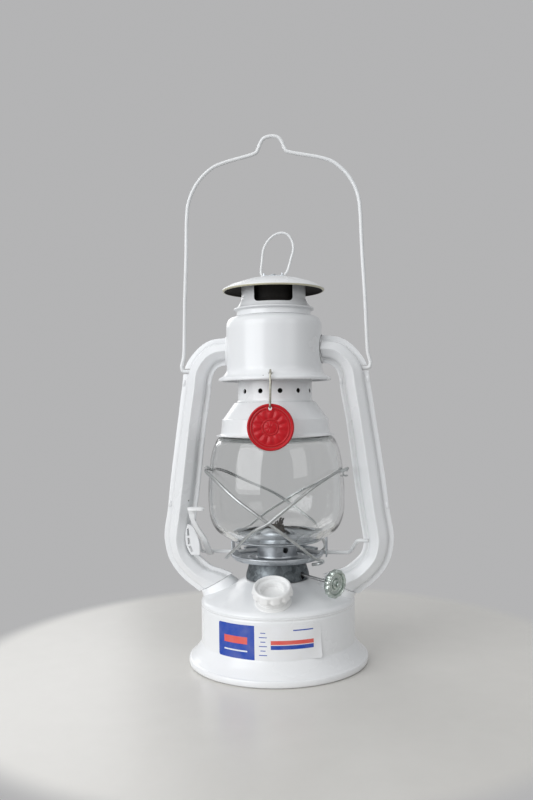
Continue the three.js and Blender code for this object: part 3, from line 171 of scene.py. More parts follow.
def clouds(tree, place, scale, **more):
    """Soft noise between 0 and 1. `more` holds its Detail and Roughness."""
    return add_node(tree, "ShaderNodeTexNoise", {"Vector": place, "Scale": scale, **more}).outputs["Fac"]


def ranged(tree, value, low, high, most=1, **settings):
    """The value, moved from between low and high to between 0 and `most`."""
    inputs = {"Value": value, "From Min": low, "From Max": high, "To Max": most}
    return add_node(tree, "ShaderNodeMapRange", inputs, **settings).outputs[0]


def relief(tree, height, strength, distance):
    """Normal of a surface with a height on it. `distance` is in metres."""
    inputs = {"Height": height, "Strength": strength, "Distance": distance}
    return add_node(tree, "ShaderNodeBump", inputs).outputs[0]


def object_place(tree):
    return tree.nodes.new("ShaderNodeTexCoord").outputs["Object"]


def start_finish(name):
    """Empty material with its tree of nodes."""
    made = bpy.data.materials.new(name)
    made.use_nodes = True
    made.node_tree.nodes.clear()
    return made, made.node_tree


def show(tree, shader):
    add_node(tree, "ShaderNodeOutputMaterial", {"Surface": shader.outputs[0]})


# %% [markdown]
# ## Floor, backdrop and light
# The lantern stands on something pale in front of a light grey wall, in soft daylight from
# the left. A wall would hide the lantern in the views from behind, so there is one broad
# floor, whose colour fades with distance into the grey of the world around it. Far out it
# only glows for camera, glossy and transmission rays, so it lights nothing.

# %% Floor and world
WALL, TABLE, TABLE_SPOTS = rgb(0.455, 0.455, 0.46), rgb(0.66, 0.64, 0.605), rgb(0.71, 0.69, 0.655)
TABLE_END, WALL_START, FLOOR_REACH = 0.19, 0.215, 12


def seen_directly(tree):
    """1 for the rays that show a thing, and 0 for those that only light others."""
    path = tree.nodes.new("ShaderNodeLightPath").outputs
    either = calc(tree, "MAXIMUM", path["Is Camera Ray"], path["Is Glossy Ray"])
    return calc(tree, "MAXIMUM", either, path["Is Transmission Ray"])


world = bpy.data.worlds.new("studio")
world.use_nodes = True
tree = world.node_tree
tree.nodes.clear()
lighting = add_node(tree, "ShaderNodeBackground", {"Color": rgb(0.94, 0.97, 1), "Strength": 0.4})
shown = add_node(tree, "ShaderNodeBackground", {"Color": WALL, "Strength": 1})
mixed = mix_shaders(tree, seen_directly(tree), lighting, shown)
add_node(tree, "ShaderNodeOutputWorld", {"Surface": mixed.outputs[0]})
scene.world = world

floor_finish, tree = start_finish("floor")
place = object_place(tree)
distance = add_node(tree, "ShaderNodeVectorMath", {0: place}, operation="LENGTH").outputs["Value"]
fade = ranged(tree, distance, TABLE_END, WALL_START, interpolation_type="SMOOTHSTEP")
tint = mix_colours(tree, clouds(tree, place, 60, Detail=6, Roughness=0.6), TABLE, TABLE_SPOTS)
matt = add_node(tree, "ShaderNodeBsdfPrincipled", {"Base Color": tint, "Roughness": 0.3})
glow = add_node(tree, "ShaderNodeEmission", {"Color": WALL, "Strength": 1})
dark = add_node(tree, "ShaderNodeBsdfDiffuse", {"Color": rgb(0.3, 0.3, 0.3)})
show(tree, mix_shaders(tree, fade, matt, mix_shaders(tree, seen_directly(tree), dark, glow)))

floor_mesh = bpy.data.meshes.new("floor")
shape = bmesh.new()
bmesh.ops.create_circle(shape, cap_ends=True, segments=96, radius=FLOOR_REACH)
shape.to_mesh(floor_mesh)
shape.free()
floor_mesh.materials.append(floor_finish)
floor = bpy.data.objects.new("floor", floor_mesh)
scene.collection.objects.link(floor)
floor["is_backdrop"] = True
print("floor reaches", FLOOR_REACH, "m")

# %% Soft lamps
LAMP_AIM = Vector((0, 0, 0.16))


def softbox(name, place, size, power, tint=(1, 1, 1)):
    """Square lamp at a place in metres, turned to the lantern's middle."""
    light = bpy.data.lights.new(name, "AREA")
    light.shape = "RECTANGLE"
    light.size, light.size_y = size
    light.energy = power
    light.color = tint
    lamp = bpy.data.objects.new(name, light)
    scene.collection.objects.link(lamp)
    lamp.location = place
    lamp.rotation_euler = (LAMP_AIM - Vector(place)).to_track_quat("-Z", "Y").to_euler()


softbox("window_left", (-1.3, -1.5, 0.8), (1.8, 1.7), 32, (0.97, 0.985, 1))
softbox("window_right", (1.4, -1.2, 0.8), (0.9, 1.1), 4.5)
softbox("pane", (-0.75, -1.7, 1.1), (0.34, 0.5), 0.35)
softbox("ceiling", (-0.3, 0.1, 1.9), (1.6, 1.6), 7)
softbox("behind", (-1.1, 1.4, 0.9), (1.2, 0.9), 6)

# %% [markdown]
# ## Effects that several finishes share
# Painted and plated sheet is never one flat colour. Its edges are rubbed bare, its coat has
# the soft ripple of sprayed paint, zinc shows crystals, and its corners are darkened, partly
# with dirt and partly with painted shade. Each of these could be drawn into every material.
# Here each is a node group that gives out a mask or a height, so that one effect looks the
# same wherever it is used.

# %% Worn edges: a mask where the surface is convex and a patchy noise allows it
PATCH_EDGE = 0.08


def end_group(tree, result, **outputs):
    for key, value in outputs.items():
        tree.links.new(value, result.inputs[key.replace("_", " ")])


tree, given, result = start_group(
    "worn edges",
    [("Start", VALUE, 0.56), ("End", VALUE, 0.62), ("Patch Scale", VALUE, 300), ("Patchiness", VALUE, 0.5)],
    [("Mask", VALUE)],
)
bend = tree.nodes.new("ShaderNodeNewGeometry").outputs["Pointiness"]
edge = ranged(tree, bend, given["Start"], given["End"], interpolation_type="SMOOTHSTEP")
patch = clouds(tree, object_place(tree), given["Patch Scale"], Detail=5, Roughness=0.65)
held = ranged(tree, patch, given["Patchiness"], calc(tree, "ADD", given["Patchiness"], PATCH_EDGE))
end_group(tree, result, Mask=calc(tree, "MULTIPLY", edge, held))

# %% Corner soil and shade: a mask in concave corners, broken up by noise, which darkens them partly as dirt and partly as painted shade
tree, given, result = start_group(
    "corner soil and shade",
    [("Start", VALUE, 0.48), ("End", VALUE, 0.42), ("Patch Scale", VALUE, 120)],
    [("Mask", VALUE)],
)
bend = tree.nodes.new("ShaderNodeNewGeometry").outputs["Pointiness"]
corner = ranged(tree, bend, given["Start"], given["End"])
patch = clouds(tree, object_place(tree), given["Patch Scale"], Detail=4, Roughness=0.6)
end_group(tree, result, Mask=calc(tree, "MULTIPLY", corner, patch))

# %% Sprayed coat: broad tone changes, a fine orange-peel height and tiny specks
SPECKED_CELLS, RIPPLE_SCALE, PEEL_SHARE = 0.82, 38, 0.22

tree, given, result = start_group(
    "sprayed coat",
    [("Colour", COLOUR, rgb(0.8, 0.8, 0.8)), ("Shade", COLOUR, rgb(0.7, 0.7, 0.7)),
     ("Speck", COLOUR, rgb(0.1, 0.08, 0.06)), ("Tone Scale", VALUE, 14), ("Peel Scale", VALUE, 420),
     ("Speck Scale", VALUE, 70), ("Speck Size", VALUE, 0.035)],
    [("Colour", COLOUR), ("Height", VALUE), ("Roughness Shift", VALUE)],
)
place = object_place(tree)
tone = clouds(tree, place, given["Tone Scale"], Detail=5, Roughness=0.55)
base = mix_colours(tree, ranged(tree, tone, 0.35, 0.7), given["Colour"], given["Shade"])
cells = add_node(tree, "ShaderNodeTexVoronoi", {"Vector": place, "Scale": given["Speck Scale"]}).outputs
lot = add_node(tree, "ShaderNodeSeparateColor", {0: cells["Color"]}).outputs[0]
chosen = calc(tree, "GREATER_THAN", lot, SPECKED_CELLS)
near = calc(tree, "LESS_THAN", cells["Distance"], given["Speck Size"])
peel = clouds(tree, place, given["Peel Scale"], Detail=2, Roughness=0.4)
ripple = clouds(tree, place, RIPPLE_SCALE, Detail=2)
end_group(
    tree, result,
    Colour=mix_colours(tree, calc(tree, "MULTIPLY", chosen, near), base, given["Speck"]),
    Height=calc(tree, "MULTIPLY_ADD", peel, PEEL_SHARE, ripple),
    Roughness_Shift=calc(tree, "MULTIPLY_ADD", tone, 0.12, -0.06),
)

# %% Zinc crystals: angular cells of slightly different grey, with dull stains between
SWIRL_SCALE, SWIRL_REACH = 160, 0.004

tree, given, result = start_group(
    "zinc crystals",
    [("Light", COLOUR, rgb(0.5, 0.52, 0.54)), ("Dark", COLOUR, rgb(0.2, 0.22, 0.24)),
     ("Cell Scale", VALUE, 420), ("Stain Scale", VALUE, 45), ("Stain", VALUE, 0.4)],
    [("Colour", COLOUR), ("Height", VALUE), ("Roughness Shift", VALUE)],
)
place = object_place(tree)
swirls = add_node(tree, "ShaderNodeTexNoise", {"Vector": place, "Scale": SWIRL_SCALE, "Detail": 2})
swirl = {0: swirls.outputs["Color"], "Scale": SWIRL_REACH}
small = add_node(tree, "ShaderNodeVectorMath", swirl, operation="SCALE").outputs[0]
bent = add_node(tree, "ShaderNodeVectorMath", {0: place, 1: small}, operation="ADD").outputs[0]
cell = add_node(tree, "ShaderNodeTexVoronoi", {"Vector": bent, "Scale": given["Cell Scale"]}).outputs["Color"]
grey = add_node(tree, "ShaderNodeSeparateColor", {0: cell}).outputs[0]
stain = clouds(tree, place, given["Stain Scale"], Detail=7, Roughness=0.7)
stained = ranged(tree, stain, 0.38, 0.66)
shares = {0: given["Stain"], 2: grey, 3: stained}
share = add_node(tree, "ShaderNodeMix", shares, data_type="FLOAT").outputs[0]
end_group(
    tree, result,
    Colour=mix_colours(tree, share, given["Light"], given["Dark"]),
    Height=calc(tree, "MULTIPLY_ADD", grey, 0.4, stain),
    Roughness_Shift=calc(tree, "MULTIPLY_ADD", stained, 0.24, -0.08),
)

# %% Drawn lines: fine streaks along one direction, as a wire die or a spinning tool leaves
tree, given, result = start_group(
    "drawn lines",
    [("Stretch", "NodeSocketVector", (1, 1, 12)), ("Scale", VALUE, 900)],
    [("Height", VALUE)],
)
stretch = {0: object_place(tree), 1: given["Stretch"]}
pulled = add_node(tree, "ShaderNodeVectorMath", stretch, operation="MULTIPLY").outputs[0]
end_group(tree, result, Height=clouds(tree, pulled, given["Scale"], Detail=3))
print("effects:", [g.name for g in bpy.data.node_groups])

# %% [markdown]
# ## Finishes
# The lantern is white enamel over steel, with the burner, dishes and guard wires left in
# bare zinc. Enamel is glossy but a little uneven, so it takes the sprayed coat, chips where
# edges are rubbed and greys in its corners, partly with dirt and partly as painted shade.
# The zinc is duller and shows its crystals.

# %% Enamel, in white for the body and in red for the tag
CORNER_SOIL_AND_SHADE = rgb(0.33, 0.31, 0.28)


def enamel(name, colour, shade, under, roughness, speck_size=0.03, chips=(0.57, 0.64), patchiness=0.56,
           coat=0.25, bumps=0.22, grime_and_shade=0.35, ior=1.5):
    """Paint that goes from `colour` to `shade`, with `under` where it is chipped or specked."""
    made, tree = start_finish(name)
    paint = place_group(tree, "sprayed coat", Colour=colour, Shade=shade, Speck=under, Speck_Size=speck_size)
    worn = place_group(tree, "worn edges", Start=chips[0], End=chips[1], Patchiness=patchiness)["Mask"]
    # Concave corners are pulled towards a grey: partly dirt, partly painted shade where less light reaches.
    soil_and_shade_mask = place_group(tree, "corner soil and shade")["Mask"]
    grimed_and_shaded = mix_colours(tree, calc(tree, "MULTIPLY", soil_and_shade_mask, grime_and_shade), paint["Colour"], CORNER_SOIL_AND_SHADE)
    gloss = calc(tree, "ADD", paint["Roughness Shift"], roughness)
    low = calc(tree, "MULTIPLY_ADD", worn, -0.6, paint["Height"])
    show(tree, add_node(tree, "ShaderNodeBsdfPrincipled", {
        "Base Color": mix_colours(tree, worn, grimed_and_shaded, under),
        "Roughness": calc(tree, "MULTIPLY_ADD", worn, 0.4, gloss, clamp=True),
        "Normal": relief(tree, low, bumps, 0.0006),
        "IOR": ior, "Coat Weight": coat, "Coat Roughness": 0.08,
    }))
    return made


white_enamel = enamel(
    "white_enamel", rgb(0.86, 0.868, 0.88), rgb(0.815, 0.82, 0.825), rgb(0.12, 0.11, 0.1), 0.26, coat=0.14)
white_wire_coat = enamel(
    "white_wire_coat", rgb(0.84, 0.85, 0.86), rgb(0.77, 0.77, 0.765), rgb(0.2, 0.19, 0.17), 0.34,
    speck_size=0.05, chips=(0.85, 0.95), patchiness=0.6, bumps=0.03, grime_and_shade=0.05)
white_cap_coat = enamel(
    "white_cap_coat", rgb(0.87, 0.87, 0.865), rgb(0.83, 0.825, 0.81), rgb(0.5, 0.48, 0.44), 0.3,
    speck_size=0, patchiness=0.7)
red_enamel = enamel(
    "red_enamel", rgb(0.55, 0.006, 0.014), rgb(0.45, 0.004, 0.01), rgb(0.12, 0.01, 0.01), 0.38,
    speck_size=0, patchiness=0.9, coat=0.04, bumps=0.08, grime_and_shade=0.7, ior=1.36)
heat_tinted = enamel("heat_tinted", rgb(0.72, 0.7, 0.56), rgb(0.5, 0.46, 0.3), rgb(0.1, 0.08, 0.05), 0.35)
print("enamel done")

# %% Bare metals
RUBBED_GAIN, METAL_GRIME_AND_SHADE = 1.45, rgb(0.05, 0.048, 0.045)


def bare_metal(name, light, dark, roughness, cell=420, stain=0.4, metallic=0.92, stretch=(1, 1, 1),
               grime_and_shade=0.7):
    """Plated or bare steel, from `light` to `dark`, brighter where it is rubbed."""
    made, tree = start_finish(name)
    zinc = place_group(tree, "zinc crystals", Light=light, Dark=dark, Cell_Scale=cell, Stain=stain)
    worn = place_group(tree, "worn edges", Start=0.54, End=0.6, Patchiness=0.42)["Mask"]
    # Concave corners turn near-black: partly dirt, partly painted shade where less light reaches.
    soil_and_shade_mask = place_group(tree, "corner soil and shade", Patch_Scale=200)["Mask"]
    lines = place_group(tree, "drawn lines", Stretch=stretch)["Height"]
    bright = tuple(min(1, c * RUBBED_GAIN) for c in light)
    rubbed = mix_colours(tree, calc(tree, "MULTIPLY", worn, 0.6), zinc["Colour"], bright)
    height = calc(tree, "MULTIPLY_ADD", lines, 0.5, zinc["Height"])
    show(tree, add_node(tree, "ShaderNodeBsdfPrincipled", {
        "Base Color": mix_colours(tree, calc(tree, "MULTIPLY", soil_and_shade_mask, grime_and_shade), rubbed, METAL_GRIME_AND_SHADE),
        "Roughness": calc(tree, "ADD", zinc["Roughness Shift"], roughness, clamp=True),
        "Normal": relief(tree, height, 0.25, 0.0003), "Metallic": metallic,
    }))
    return made


dull_zinc = bare_metal(
    "dull_zinc", rgb(0.21, 0.235, 0.25), rgb(0.05, 0.057, 0.062), 0.52, cell=520, stain=0.45, metallic=0.8)
bright_zinc = bare_metal(
    "bright_zinc", rgb(0.6, 0.63, 0.66), rgb(0.36, 0.385, 0.41), 0.38,
    cell=300, grime_and_shade=0.2, stretch=(1, 1, 14))
guard_zinc = bare_metal("guard_zinc", rgb(0.56, 0.58, 0.58), rgb(0.34, 0.35, 0.35), 0.34, cell=700, stain=0.6)
knob_plating = bare_metal(
    "knob_plating", rgb(0.6, 0.66, 0.62), rgb(0.4, 0.45, 0.42), 0.26, cell=250, metallic=0.95)
plain_steel = bare_metal("plain_steel", rgb(0.5, 0.5, 0.5), rgb(0.3, 0.3, 0.3), 0.38, cell=800)
hook_brass_tone = bare_metal(
    "hook_wire", rgb(0.55, 0.53, 0.46), rgb(0.28, 0.27, 0.22), 0.35, cell=800, stain=0.6)
print("metals done")

# %% Glass, and the dull finishes of wick, soot and rubber; the soot finish also makes a painted shade baffle, and the rubber a painted shade ring
def glass_finish():
    """Clear glass with a faint wave and smears, which lets light through to what is behind."""
    made, tree = start_finish("clear_glass")
    place = object_place(tree)
    smear = clouds(tree, place, 9, Detail=6, Roughness=0.7)
    body = add_node(tree, "ShaderNodeBsdfPrincipled", {
        "Base Color": rgb(0.94, 0.946, 0.944), "Roughness": ranged(tree, smear, 0.5, 0.75, 0.06), "IOR": 1.41,
        "Transmission Weight": 1.0, "Normal": relief(tree, clouds(tree, place, 26, Detail=1), 0.12, 0.0008),
    })
    clear = add_node(tree, "ShaderNodeBsdfTransparent", {"Color": rgb(0.94, 0.95, 0.95)})
    path = tree.nodes.new("ShaderNodeLightPath").outputs
    soft = calc(tree, "MAXIMUM", path["Is Shadow Ray"], path["Is Diffuse Ray"])
    show(tree, mix_shaders(tree, soft, body, clear))
    return made


def dull_finish(name, light, dark, roughness, scale, stretch=(1, 1, 1)):
    """Patchy matt finish, from `light` to `dark`, with fine lines in it."""
    made, tree = start_finish(name)
    patch = clouds(tree, object_place(tree), scale, Detail=6, Roughness=0.65)
    lines = place_group(tree, "drawn lines", Stretch=stretch, Scale=scale * 8)["Height"]
    height = calc(tree, "MULTIPLY_ADD", lines, 0.6, patch)
    show(tree, add_node(tree, "ShaderNodeBsdfPrincipled", {
        "Base Color": mix_colours(tree, ranged(tree, patch, 0.35, 0.65), light, dark),
        "Roughness": roughness, "Normal": relief(tree, height, 0.6, 0.0004),
    }))
    return made


clear_glass = glass_finish()
charred_wick = dull_finish(
    "charred_wick", rgb(0.01, 0.009, 0.008), rgb(0.055, 0.045, 0.036), 0.95, 260, (1, 1, 0.2))
# The soot finish also colours the baffle inside the cage, where it is painted shade.
soot_and_shade = dull_finish("soot_and_shade", rgb(0.004, 0.003, 0.002), rgb(0.016, 0.013, 0.009), 0.8, 90)
# Dark rubber also makes the small ring in the right tube's mouth, which is painted shade for the gap.
dark_rubber = dull_finish("dark_rubber", rgb(0.02, 0.02, 0.02), rgb(0.04, 0.04, 0.038), 0.7, 300)
print("finishes:", len(bpy.data.materials))

# %% [markdown]
# ## Ways to make sheet metal and wire
# Almost every piece of the lantern is either a sheet spun on a lathe or a bent wire. A
# lathe form is drawn as half an outline and turned about the axis, which is closer to how
# it is made than pushing points about by hand. Real sheet never has a knife edge, so every
# corner of the outline is first eased into a small curve.

# %% Turned sheet
STRAIGHT_ENOUGH, SAME_PLACE = 0.06, 1e-6


def eased(outline, reach=0.5, steps=3):
    """Corners of an outline in mm, each swapped for a short curve that starts `reach` before it."""
    points = [Vector(p) for p in outline]
    result = []
    for i, corner in enumerate(points):
        before, after = points[i - 1], points[(i + 1) % len(points)]
        into, out = corner - before, after - corner
        if into.length < SAME_PLACE or out.length < SAME_PLACE:
            continue
        if into.angle(out) < STRAIGHT_ENOUGH:
            result.append(corner)
            continue
        start = corner - into.normalized() * min(reach, into.length * 0.45)
        end = corner + out.normalized() * min(reach, out.length * 0.45)
        for k in range(steps + 1):
            t = k / steps
            result.append(start * (1 - t) ** 2 + corner * 2 * t * (1 - t) + end * t * t)
    return result


def skinned(name, corners, faces):
    """Mesh of corners in metres, with doubled corners merged and every face turned outwards."""
    mesh = bpy.data.meshes.new(name)
    mesh.from_pydata(corners, [], faces)
    tidy = bmesh.new()
    tidy.from_mesh(mesh)
    bmesh.ops.remove_doubles(tidy, verts=tidy.verts, dist=SAME_PLACE)
    bmesh.ops.recalc_face_normals(tidy, faces=tidy.faces)
    tidy.to_mesh(mesh)
    tidy.free()
    return mesh


def spin(outline, segments=144, vary=None):
    """Mesh of an outline of (radius, height) in mm, turned about Z. `vary` may move a point."""
    rows = len(outline)
    corners, faces = [], []
    for s in range(segments):
        turn = 2 * math.pi * s / segments
        after = (s + 1) % segments
        for k, (radius, height) in enumerate(outline):
            r, z = vary(turn, radius, height) if vary else (radius, height)
            corners.append((r * math.sin(turn) * MM, -r * math.cos(turn) * MM, z * MM))
            n = (k + 1) % rows
            faces.append((s * rows + k, s * rows + n, after * rows + n, after * rows + k))
    return skinned("turned", corners, faces)


# %% Bent wire and lofted sheet
def smooth_path(points, steps=6):
    """Points in mm with a centripetal Catmull-Rom curve drawn through them."""
    points = [Vector(p) for p in points]
    result = []
    for i in range(len(points) - 1):
        b, c = points[i], points[i + 1]
        a = points[i - 1] if i else b * 2 - c
        d = points[i + 2] if i + 2 < len(points) else c * 2 - b
        t1 = max((b - a).length, SAME_PLACE) ** 0.5
        t2 = t1 + max((c - b).length, SAME_PLACE) ** 0.5
        t3 = t2 + max((d - c).length, SAME_PLACE) ** 0.5
        for k in range(steps):
            t = t1 + (t2 - t1) * k / steps
            p1 = a * ((t1 - t) / t1) + b * (t / t1)
            p2 = b * ((t2 - t) / (t2 - t1)) + c * ((t - t1) / (t2 - t1))
            p3 = c * ((t3 - t) / (t3 - t2)) + d * ((t - t2) / (t3 - t2))
            q1 = p1 * ((t2 - t) / t2) + p2 * (t / t2)
            q2 = p2 * ((t3 - t) / (t3 - t1)) + p3 * ((t - t1) / (t3 - t1))
            result.append(q1 * ((t2 - t) / (t2 - t1)) + q2 * ((t - t1) / (t2 - t1)))
    return result + [points[-1]]


def loft(rings, endless=False):
    """Mesh over a row of rings of points in mm, capped, or endless with its last ring on its first."""
    count = len(rings[0])
    corners = [tuple(Vector(p) * MM) for ring in rings for p in ring]
    faces = []
    for i in range(len(rings) if endless else len(rings) - 1):
        j = (i + 1) % len(rings)
        for k in range(count):
            n = (k + 1) % count
            faces.append((i * count + k, i * count + n, j * count + n, j * count + k))
    if not endless:
        faces.append(tuple(range(count))[::-1])
        faces.append(tuple(range((len(rings) - 1) * count, len(rings) * count)))
    return skinned("lofted", corners, faces)


def wire_mesh(points, diameter, steps=6, sides=14):
    """Round wire along a curve through the points, in mm, with eased ends."""
    ease = 0.35
    path = smooth_path(points, steps)
    radius = diameter / 2
    shape = [(math.cos(2 * math.pi * k / sides), math.sin(2 * math.pi * k / sides)) for k in range(sides)]
    rings, side, last = [], None, len(path) - 1
    for i, point in enumerate(path):
        along = (path[min(i + 1, last)] - path[max(i - 1, 0)]).normalized()
        if side is None:
            side = along.orthogonal().normalized()
        side = (side - along * side.dot(along)).normalized()
        other = along.cross(side)
        ring = [point + side * radius * c + other * radius * s for c, s in shape]
        if i in (0, last):
            inner = [point + (p - point) * (1 - ease) for p in ring]
            shift = along * (radius * ease * (-1 if i == 0 else 1))
            ring = [p - shift for p in ring]
            rings.extend([inner, ring] if i == 0 else [ring, inner])
        else:
            rings.append(ring)
    return loft(rings)


def squarish(value, power):
    """A sine or cosine, flattened so that a ring of them is squarer than a circle."""
    return math.copysign(abs(value) ** power, value)


def around(radius, azimuth, height=0.0):
    """Point in mm at an azimuth in degrees from the front towards +X."""
    turn = math.radians(azimuth)
    return Vector((radius * math.sin(turn), -radius * math.cos(turn), height))


# %% Blocks and rods to cut with, and the cut itself
def prism(outline, levels, axis):
    """Straight block: an outline in mm, repeated at levels along an axis."""
    spot = "XYZ".index(axis)
    return loft([[Vector((*pair[:spot], level, *pair[spot:])) for pair in outline] for level in levels])


def rod(radius, start, end, sides=24):
    """Straight cylinder between two points in mm."""
    start, end = Vector(start), Vector(end)
    along = (end - start).normalized()
    side = along.orthogonal().normalized()
    other = along.cross(side)
    turns = [2 * math.pi * k / sides for k in range(sides)]
    ring = [(side * math.cos(t) + other * math.sin(t)) * radius for t in turns]
    return loft([[p + corner for corner in ring] for p in (start, end)])


def carved(mesh, *cutters):
    """Mesh with the cutters' room taken out of it, by an exact boolean."""
    holder = bpy.data.objects.new("carving", mesh)
    scene.collection.objects.link(holder)
    tools = []
    for cutter in cutters:
        tool = bpy.data.objects.new("cutter", cutter)
        scene.collection.objects.link(tool)
        tools.append(tool)
        change = holder.modifiers.new("cut", "BOOLEAN")
        change.operation = "DIFFERENCE"
        change.solver = "EXACT"
        change.object = tool
    bpy.context.view_layer.update()
    ready = holder.evaluated_get(bpy.context.evaluated_depsgraph_get())
    result = bpy.data.meshes.new_from_object(ready)
    for each in [holder, *tools]:
        bpy.data.objects.remove(each)
    return result


# %% Ways to set a piece on the lantern
SIDES = (("left", -1), ("right", 1))
made_pieces = []


def moved(mesh, matrix):
    mesh.transform(matrix)
    return mesh


def up_by(height):
    return Matrix.Translation((0, 0, height * MM))


def standing_at(place, axis):
    """Carries what is made about Z to a place in mm, with Z along the axis."""
    return Matrix.Translation(place * MM) @ Vector((0, 0, 1)).rotation_difference(axis).to_matrix().to_4x4()


def piece(name, mesh, finish, body, *nodes, slot=None, sharp=40):
    """Puts a mesh on the lantern: its finish, its body, and the solids that it stands for."""
    mesh.materials.clear()
    mesh.materials.append(finish)
    for face in mesh.polygons:
        face.use_smooth = True
    mesh.set_sharp_from_angle(angle=math.radians(sharp))
    made = bpy.data.objects.new(name, mesh)
    scene.collection.objects.link(made)
    if nodes:
        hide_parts(*nodes)
    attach(made, body)
    made_pieces.append(name)
    return made


print("helpers ready")

# %% [markdown]
# ## Tank
# The tank is a drum with a flared foot that ends in a rolled bead, and a cone over it that
# holds warm air. Both are spun sheet. A plain cylinder with a cone on it would look like a
# toy, so the outline follows the real one: the foot sweeps out in a slow curve, a fine
# groove marks where the cone is crimped on, and the cone's own foot is rounded.

# %% Tank wall, floor and cone
FOOT, TANK = 57.45, 49.3
foot_sweep = [
    (54.6, 0.1), (56.2, 0.1), (57.1, 0.7), (FOOT, 1.9), (FOOT, 3.4), (57.2, 4.2), (56.75, 4.5),
    (56.2, 4.65), (55.8, 5.1), (55.1, 5.8), (53.9, 7.0), (52.4, 8.9), (51.1, 10.8), (50.3, 12.1),
    (49.75, 12.9), (TANK, 13.7),
]
wall = eased(
    [*foot_sweep, (TANK, 35.9), (49.0, 36.5), (49.05, 37.1), (49.35, 37.6), (49.35, 38.1), (48.6, 38.2),
     (48.5, 13.9), (49.4, 12.2), (51.6, 8.2), (53.4, 5.6), (53.9, 2.6), (54.2, 0.9)])
piece("tank_wall", spin(wall, 192), white_enamel, "stand", "fount_body", slot="white_enamel", sharp=50)

tank_floor = eased(
    [(0.01, 14.5), (22, 14.5), (24, 15.3), (40, 15.3), (42, 14.5), (48.1, 14.5), (48.1, 18.3), (47.4, 18.3),
     (47.4, 15.3), (42.3, 15.3), (40.3, 16.1), (23.7, 16.1), (21.7, 15.3), (0.01, 15.3)], reach=0.6)
piece("tank_floor", spin(tank_floor, 120), white_enamel, "stand", "fount_base", slot="white_enamel")

tank_lid = [(14.2, 33.3), (47.3, 33.3), (47.3, 31.1), (48.1, 31.1), (48.1, 33.9), (14.2, 33.9)]
piece("tank_lid", spin(eased(tank_lid, 0.25), 96), dull_zinc, "stand", "fount_lid", slot="dull_zinc")


def cone_bumps(turn, radius, height):
    """Pressed landings for the side tubes: the cone swells a little at both sides."""
    half_width, middle, half_reach = 17, 39, 9
    away = min(abs(math.degrees(turn) - side) for side in (90, 270))
    lift = max(0.0, 1 - (away / half_width) ** 2) * max(0.0, 1 - ((radius - middle) / half_reach) ** 2)
    return radius + 0.2 * lift, height + 0.45 * lift


cone = eased(
    [(48.1, 34.8), (48.1, 37.9), (49.2, 38.0), (49.4, 38.6), (49.05, 39.6), (47.9, 40.75), (46.4, 41.45),
     (44.6, 42.1), (20.6, 52.15), (16.2, 52.2), (16.2, 51.2), (20.2, 51.2), (44.3, 41.0), (47.0, 39.6),
     (47.3, 38.4), (47.3, 34.8)],
    reach=0.6)
cone_mesh = spin(cone, 192, vary=cone_bumps)
piece("tank_cone", cone_mesh, white_enamel, "stand", "air_dome", slot="white_enamel", sharp=50)
print("tank height", round(max(z for _, z in cone), 2), "mm")

# %% [markdown]
# ## Tube landings
# Each side tube ends in a raised oval that is soldered to the cone, with a thin rim lying
# on the slope. A boolean union with the cone would hide that rim. It is lofted as its own
# short collar instead, tilted to the slope, so that the joint line shows as it does on the
# real tank.

# %% Raised landings with a soldered rim
LANDING_TILT = math.radians(28.6)
LANDING = Vector((40.5, 0, 48.4))
landing_steps = [
    (3.6, -7.6), (2.9, -5.6), (2.1, -3.9), (1.3, -2.4), (0.75, -1.2), (0.35, -0.5), (0.2, 0.05),
    (-1.2, 0.12),
]


def landing(side):
    """Collar whose oval rings are given by landing_steps: how much wider, and how high, in mm."""
    along = Vector((math.cos(LANDING_TILT), 0, -math.sin(LANDING_TILT)))
    out = Vector((math.sin(LANDING_TILT), 0, math.cos(LANDING_TILT)))
    rings = []
    for grow, lift in landing_steps:
        ring = []
        for k in range(56):
            t = 2 * math.pi * k / 56
            x = (10.9 + grow * (0.25 if math.cos(t) > 0 else 1)) * squarish(math.cos(t), 0.85)
            y = (7.3 + grow) * squarish(math.sin(t), 0.85)
            point = LANDING + along * x + Vector((0, y, 0)) + out * lift
            ring.append(Vector((point.x * side, point.y, point.z)))
        rings.append(ring)
    return loft(rings)


for word, side in SIDES:
    piece(f"{word}_tube_landing", landing(side), white_enamel, "stand", slot="white_enamel")
print("landing rings:", len(landing_steps))

# %% [markdown]
# ## Filler neck and screw cap
# The filler stands square on the cone's front. Its cap is a moulded ring with ten shallow
# scallops on its lower edge and a deep stepped well that dips into the neck. The cap is a
# lathe form whose radius is varied with the angle, which keeps one clean mesh and lets the
# scallops fade out upwards, where cutting them with cylinders would leave sharp notches.

# %% Filler
FILLER_FOOT = Vector((1.91, -36.45, 45.471))
FILLER_AXIS = Vector((0.020869, -0.398203, 0.917060)).normalized()
onto_filler = standing_at(FILLER_FOOT, FILLER_AXIS)
THREAD_PITCH = 1.75
neck = [
    (7.95, -14.6), (8.9, -14.6), (8.9, -0.8), (10.6, -0.6), (11.25, 0.0), (11.2, 0.55), (10.7, 0.95),
    (9.1, 1.3),
]
for i in range(3):
    neck += [(radius, height + THREAD_PITCH * i) for radius, height in ((8.95, 1.5), (9.2, 2.3), (8.95, 3.1))]
neck += [(8.9, 6.85), (7.95, 6.85)]
neck_mesh = moved(spin(eased(neck, 0.3), 96), onto_filler)
piece("filler_neck_thread", neck_mesh, white_cap_coat, "stand", "filler_neck", slot="white_enamel")

gasket = eased([(7.95, 7.15), (8.85, 7.15), (8.85, 8.2), (7.95, 8.2)], 0.2)
gasket_mesh = moved(spin(gasket, 64), onto_filler)
piece("filler_gasket", gasket_mesh, dark_rubber, "cap_seal", "cap_gasket", slot="dark_rubber")

